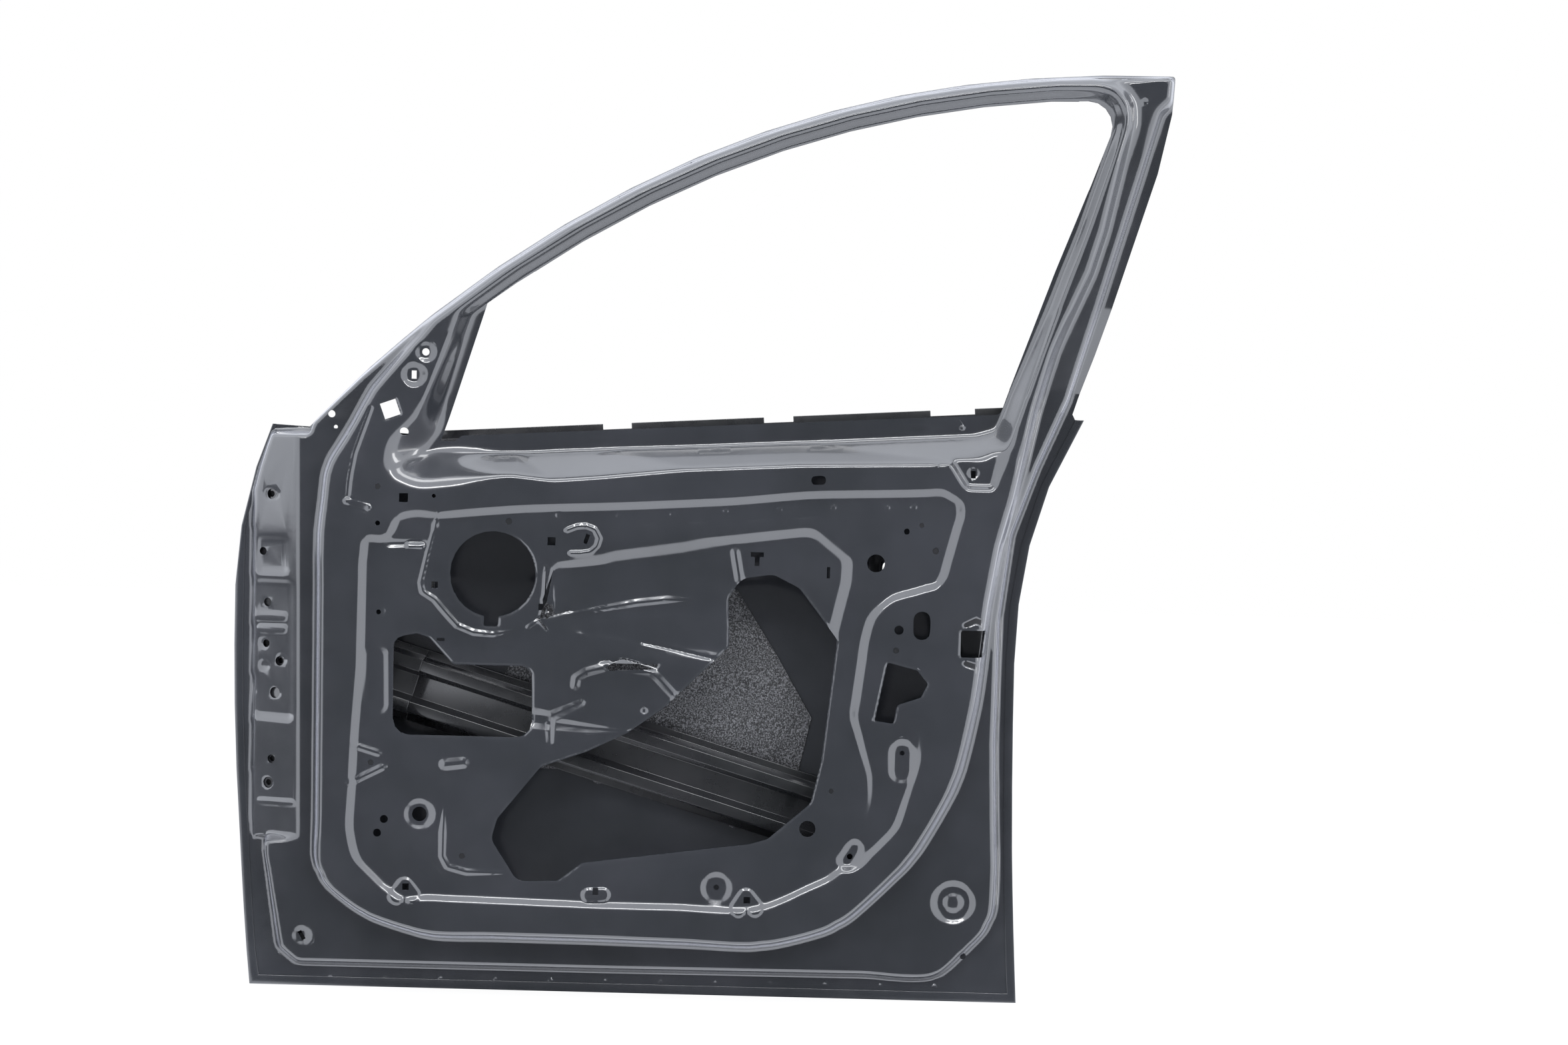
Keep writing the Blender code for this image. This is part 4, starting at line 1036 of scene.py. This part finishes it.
@dataclass
class FoldedSheet:
    """A CAD sheet whose folds are rounded.

    Args:
        node: CAD node that it stands for.
        round_off: Radius given to its folds.
        limit: Only edges sharper than this angle, in degrees, are rounded.
        segments: Steps of each round.
        trim: Point and direction of a plane past which the sheet is cut off.
        flat: Angle in degrees under which faces are joined into one.
        soft: Angle in degrees under which edges are shaded smooth.
    """

    node: str
    round_off: float
    limit: float = 25.0
    segments: int = 3
    trim: tuple[Triple, Triple] | None = None
    flat: float = 0.3
    soft: float = 40.0

    def build(self, material: bpy.types.Material, slot: Slot) -> bpy.types.Object:
        """Make the piece.

        Args:
            material: Its finish.
            slot: Not used.

        Returns:
            The finished piece.
        """
        item = merged_copy(self.node, f"{self.node}_piece")
        enter("EDIT")
        bpy.ops.mesh.select_all(action="SELECT")
        bpy.ops.mesh.dissolve_limited(angle_limit=math.radians(self.flat))
        if self.trim:
            bpy.ops.mesh.select_all(action="SELECT")
            bpy.ops.mesh.bisect(plane_co=self.trim[0], plane_no=self.trim[1], use_fill=True, clear_outer=True)
        enter("OBJECT")
        modifier = item.modifiers.new("Folds", "BEVEL")
        modifier.width = self.round_off
        modifier.segments = self.segments
        modifier.limit_method = "ANGLE"
        modifier.angle_limit = math.radians(self.limit)
        apply_all(item)
        smooth(item, self.soft)
        dress(item, material)
        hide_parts(self.node)
        return item


@dataclass
class Studio:
    """White floor and backdrop, surroundings that the coat mirrors, and the camera at the photograph's angle.

    Args:
        centre: Place of the camera.
        roll: Its turn round its own axis, in degrees.
        lens: Its focal length in mm.
        surroundings: Level of the bright surroundings.
        tint: Their colour.
        dim: Share of that level in the box round the camera's axis, which flat faces mirror.
        behind: Share of it behind the door.
        low_ahead: Level low on the front side.
        floor_glow: Share of the floor's own white that the camera sees.
        fades: Where the box's sides, top, bottom and near end turn from dim to bright.
    """

    centre: Triple = (0.6428, -3.170, -0.0537)
    roll: float = 1.46
    lens: float = 58.1
    surroundings: float = 2.2
    tint: Triple = (0.90, 0.93, 1.0)
    dim: float = 0.05
    behind: float = 0.45
    low_ahead: float = 0.25
    floor_glow: float = 0.92
    fades: tuple[Pair, ...] = ((0.30, 0.44), (0.40, 0.50), (-0.46, -0.56), (-0.80, -0.60))

    def camera(self) -> None:
        """Set the camera."""
        data = bpy.data.cameras.new("photo_camera")
        data.sensor_width = 36.0
        data.lens = self.lens
        item = bpy.data.objects.new("photo_camera", data)
        bpy.context.scene.collection.objects.link(item)
        item.matrix_world = (Matrix.Translation(self.centre) @ Matrix.Rotation(math.radians(90), 4, "X")
                             @ Matrix.Rotation(math.radians(self.roll), 4, "Z"))
        bpy.context.scene.camera = item

    def world(self) -> None:
        """Light the surroundings: bright, but dim round the camera's axis, behind the door and low ahead.

        The directions are unit vectors, and each fade runs between two values of one coordinate.
        """
        world = bpy.data.worlds.new("studio")
        bpy.context.scene.world = world
        world.use_nodes = True
        tree = world.node_tree
        tree.nodes.clear()
        add, link = tree.nodes.new, tree.links.new
        place = add("ShaderNodeTexCoord")
        split = add("ShaderNodeSeparateXYZ")
        link(place.outputs["Generated"], split.inputs["Vector"])
        sides = calculated(tree, "ABSOLUTE", split.outputs["X"])
        axes = (sides, split.outputs["Z"], split.outputs["Z"], split.outputs["Y"])
        openings = [mapped(tree, axis, fade, (0.0, 1.0)) for axis, fade in zip(axes, self.fades)]
        bright = openings[0]
        for opening in openings[1:]:
            bright = calculated(tree, "MAXIMUM", bright, opening)
        front = mapped(tree, bright, (0.0, 1.0), (self.dim, 1.0), "LINEAR")
        behind = mapped(tree, split.outputs["Y"], (0.24, 0.60), (1.0, self.behind))
        ahead = mapped(tree, split.outputs["X"], (-0.94, -0.80), (1.0, 0.0))
        low = mapped(tree, split.outputs["Z"], (-0.034, -0.024), (1.0, 0.0))
        shade = calculated(tree, "MULTIPLY", ahead, low)
        level = mapped(tree, shade, (0.0, 1.0), (self.surroundings, self.low_ahead), "LINEAR")
        level = calculated(tree, "MULTIPLY", level, calculated(tree, "MULTIPLY", front, behind))
        lamp = add("ShaderNodeBackground")
        fix(lamp, {"Color": (*self.tint, 1.0)})
        link(level, lamp.inputs["Strength"])
        backdrop = add("ShaderNodeBackground")
        fix(backdrop, {"Color": WHITE})
        ray = add("ShaderNodeLightPath")
        mix = add("ShaderNodeMixShader")
        output = add("ShaderNodeOutputWorld")
        link(ray.outputs["Is Camera Ray"], mix.inputs["Fac"])
        link(lamp.outputs["Background"], mix.inputs[1])
        link(backdrop.outputs["Background"], mix.inputs[2])
        link(mix.outputs["Shader"], output.inputs["Surface"])

    def lamp(self, name: str, place: Triple, aim: Triple, size: Pair, power: float) -> None:
        """Add a soft lamp.

        Args:
            name: Name of the lamp.
            place: Where it hangs.
            aim: Point that it faces.
            size: Width and height of its rectangle.
            power: Watts.
        """
        data = bpy.data.lights.new(name, "AREA")
        data.shape = "RECTANGLE"
        data.size, data.size_y = size
        data.energy = power
        item = bpy.data.objects.new(name, data)
        bpy.context.scene.collection.objects.link(item)
        item.location = place
        item.rotation_euler = (Vector(aim) - Vector(place)).to_track_quat("-Z", "Y").to_euler()

    def floor(self, height: float) -> None:
        """Lay the white floor, which lights the door and isn't mirrored in it.

        Args:
            height: Z of the floor.
        """
        deselect()
        bpy.ops.mesh.primitive_plane_add(size=30, location=(0.5, 0, height))
        item = bpy.context.object
        item.name = "studio_floor"
        nodes = Nodes("floor")
        add, link = nodes.tree.nodes.new, nodes.tree.links.new
        nodes.put(nodes.ramp(nodes.noise(1.5, 2.0), [(0.3, (0.86, 0.86, 0.86)), (0.7, (0.88, 0.88, 0.88))]),
                  "Base Color")
        fix(nodes.shader, {"Roughness": 0.9, "Specular IOR Level": 0.0})
        glow = add("ShaderNodeEmission")
        fix(glow, {"Color": WHITE})
        ray = add("ShaderNodeLightPath")
        share = add("ShaderNodeMath")
        share.operation = "MULTIPLY"
        share.inputs[1].default_value = self.floor_glow
        mix = add("ShaderNodeMixShader")
        link(ray.outputs["Is Camera Ray"], share.inputs[0])
        link(share.outputs["Value"], mix.inputs["Fac"])
        link(nodes.shader.outputs["BSDF"], mix.inputs[1])
        link(glow.outputs["Emission"], mix.inputs[2])
        link(mix.outputs["Shader"], nodes.tree.nodes["Material Output"].inputs["Surface"])
        item.data.materials.append(nodes.material)
        item.visible_glossy = False
        settle(item)
        item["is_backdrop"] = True


# Radius of the folds of each sheet behind the panel
FOLDS = {"intrusion_beam": 0.004, "beam_front_bracket": 0.003, "beam_rear_bracket": 0.003,
         "belt_reinforcement_inner": 0.0015, "belt_reinforcement_outer": 0.002, "hinge_reinforcement": 0.002,
         "latch_reinforcement": 0.002, "header_channel": 0.0015, "rear_post_channel": 0.0015,
         "glass_channel_front": 0.0015, "glass_channel_rear": 0.0015, "handle_reinforcement": 0.0003,
         "mirror_reinforcement": 0.0008}

# Plane that cuts off the corner of the pad behind the speaker opening: a point, and its direction
PAD_CORNER = ((0.298, 0, -0.247), (-0.875, 0, 0.483))


@dataclass
class DoorShell:
    """The whole door shell.

    Args:
        coat: Finish of the inner panel and the skin.
        inside: Finish of the pieces between them.
        mastic: Finish of the damping pad and the mastic beads.
    """

    coat: ECoat = ECoat("e_coat", (0.018, 0.020, 0.023), (0.027, 0.029, 0.034), (0.14, 0.24))
    inside: ECoat = ECoat("e_coat_inside", (0.010, 0.011, 0.012), (0.017, 0.017, 0.019), (0.22, 0.36),
                          peel=0.08, clear=0.6, painted_sheen=0.1)
    mastic: Mastic = Mastic("mastic")

    def build(self) -> None:
        """Build and dress every piece."""
        coat = self.coat.material()
        inside = self.inside.material()
        mastic = self.mastic.material()
        pieces = [PressedPanel().build(coat)]
        pieces.append(FoldedSheet("outer_skin", 0.0012, 40).build(coat, Slot.E_COAT))
        for node, radius in FOLDS.items():
            pieces.append(FoldedSheet(node, radius).build(inside, Slot.E_COAT_INSIDE))
        pieces.append(FoldedSheet("damping_pad", 0.0008, 40, trim=PAD_CORNER).build(mastic, Slot.MASTIC))
        for piece in pieces:
            log.info("%s: %d faces", piece.name, len(piece.data.polygons))
        done = {"inner_panel", "outer_skin", "damping_pad", *FOLDS}
        for name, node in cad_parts.items():
            if name not in done:
                node.data.materials.clear()
                node.data.materials.append(mastic if name.startswith("mastic") else inside)
                log.info("%s: material only", name)


# Lamps: name, place, point that it faces, width and height, and watts
LAMPS = (
    ("overhead", (0.4, -0.9, 2.4), (0.5, 0, 0), (3.4, 0.5), 22),
    ("rear_side", (3.3, -0.9, 0.5), (0.8, 0, 0), (0.4, 1.8), 14),
    ("front_strip", (0.5, -3.0, 1.85), (0.5, 0, -0.1), (3.2, 0.22), 40),
)

# Gap between the door's lowest point and the floor
FLOOR_GAP = 0.0008


def main() -> None:
    """Build the door shell and the studio."""
    logging.basicConfig(level=logging.INFO, format="%(name)s: %(message)s")
    bpy.context.scene.view_settings.view_transform = "Standard"
    cad_low, cad_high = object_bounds()
    studio = Studio()
    studio.camera()
    DoorShell().build()
    studio.world()
    for lamp in LAMPS:
        studio.lamp(*lamp)
    studio.floor(cad_low[2] - FLOOR_GAP)


if __name__ == "__main__":
    main()
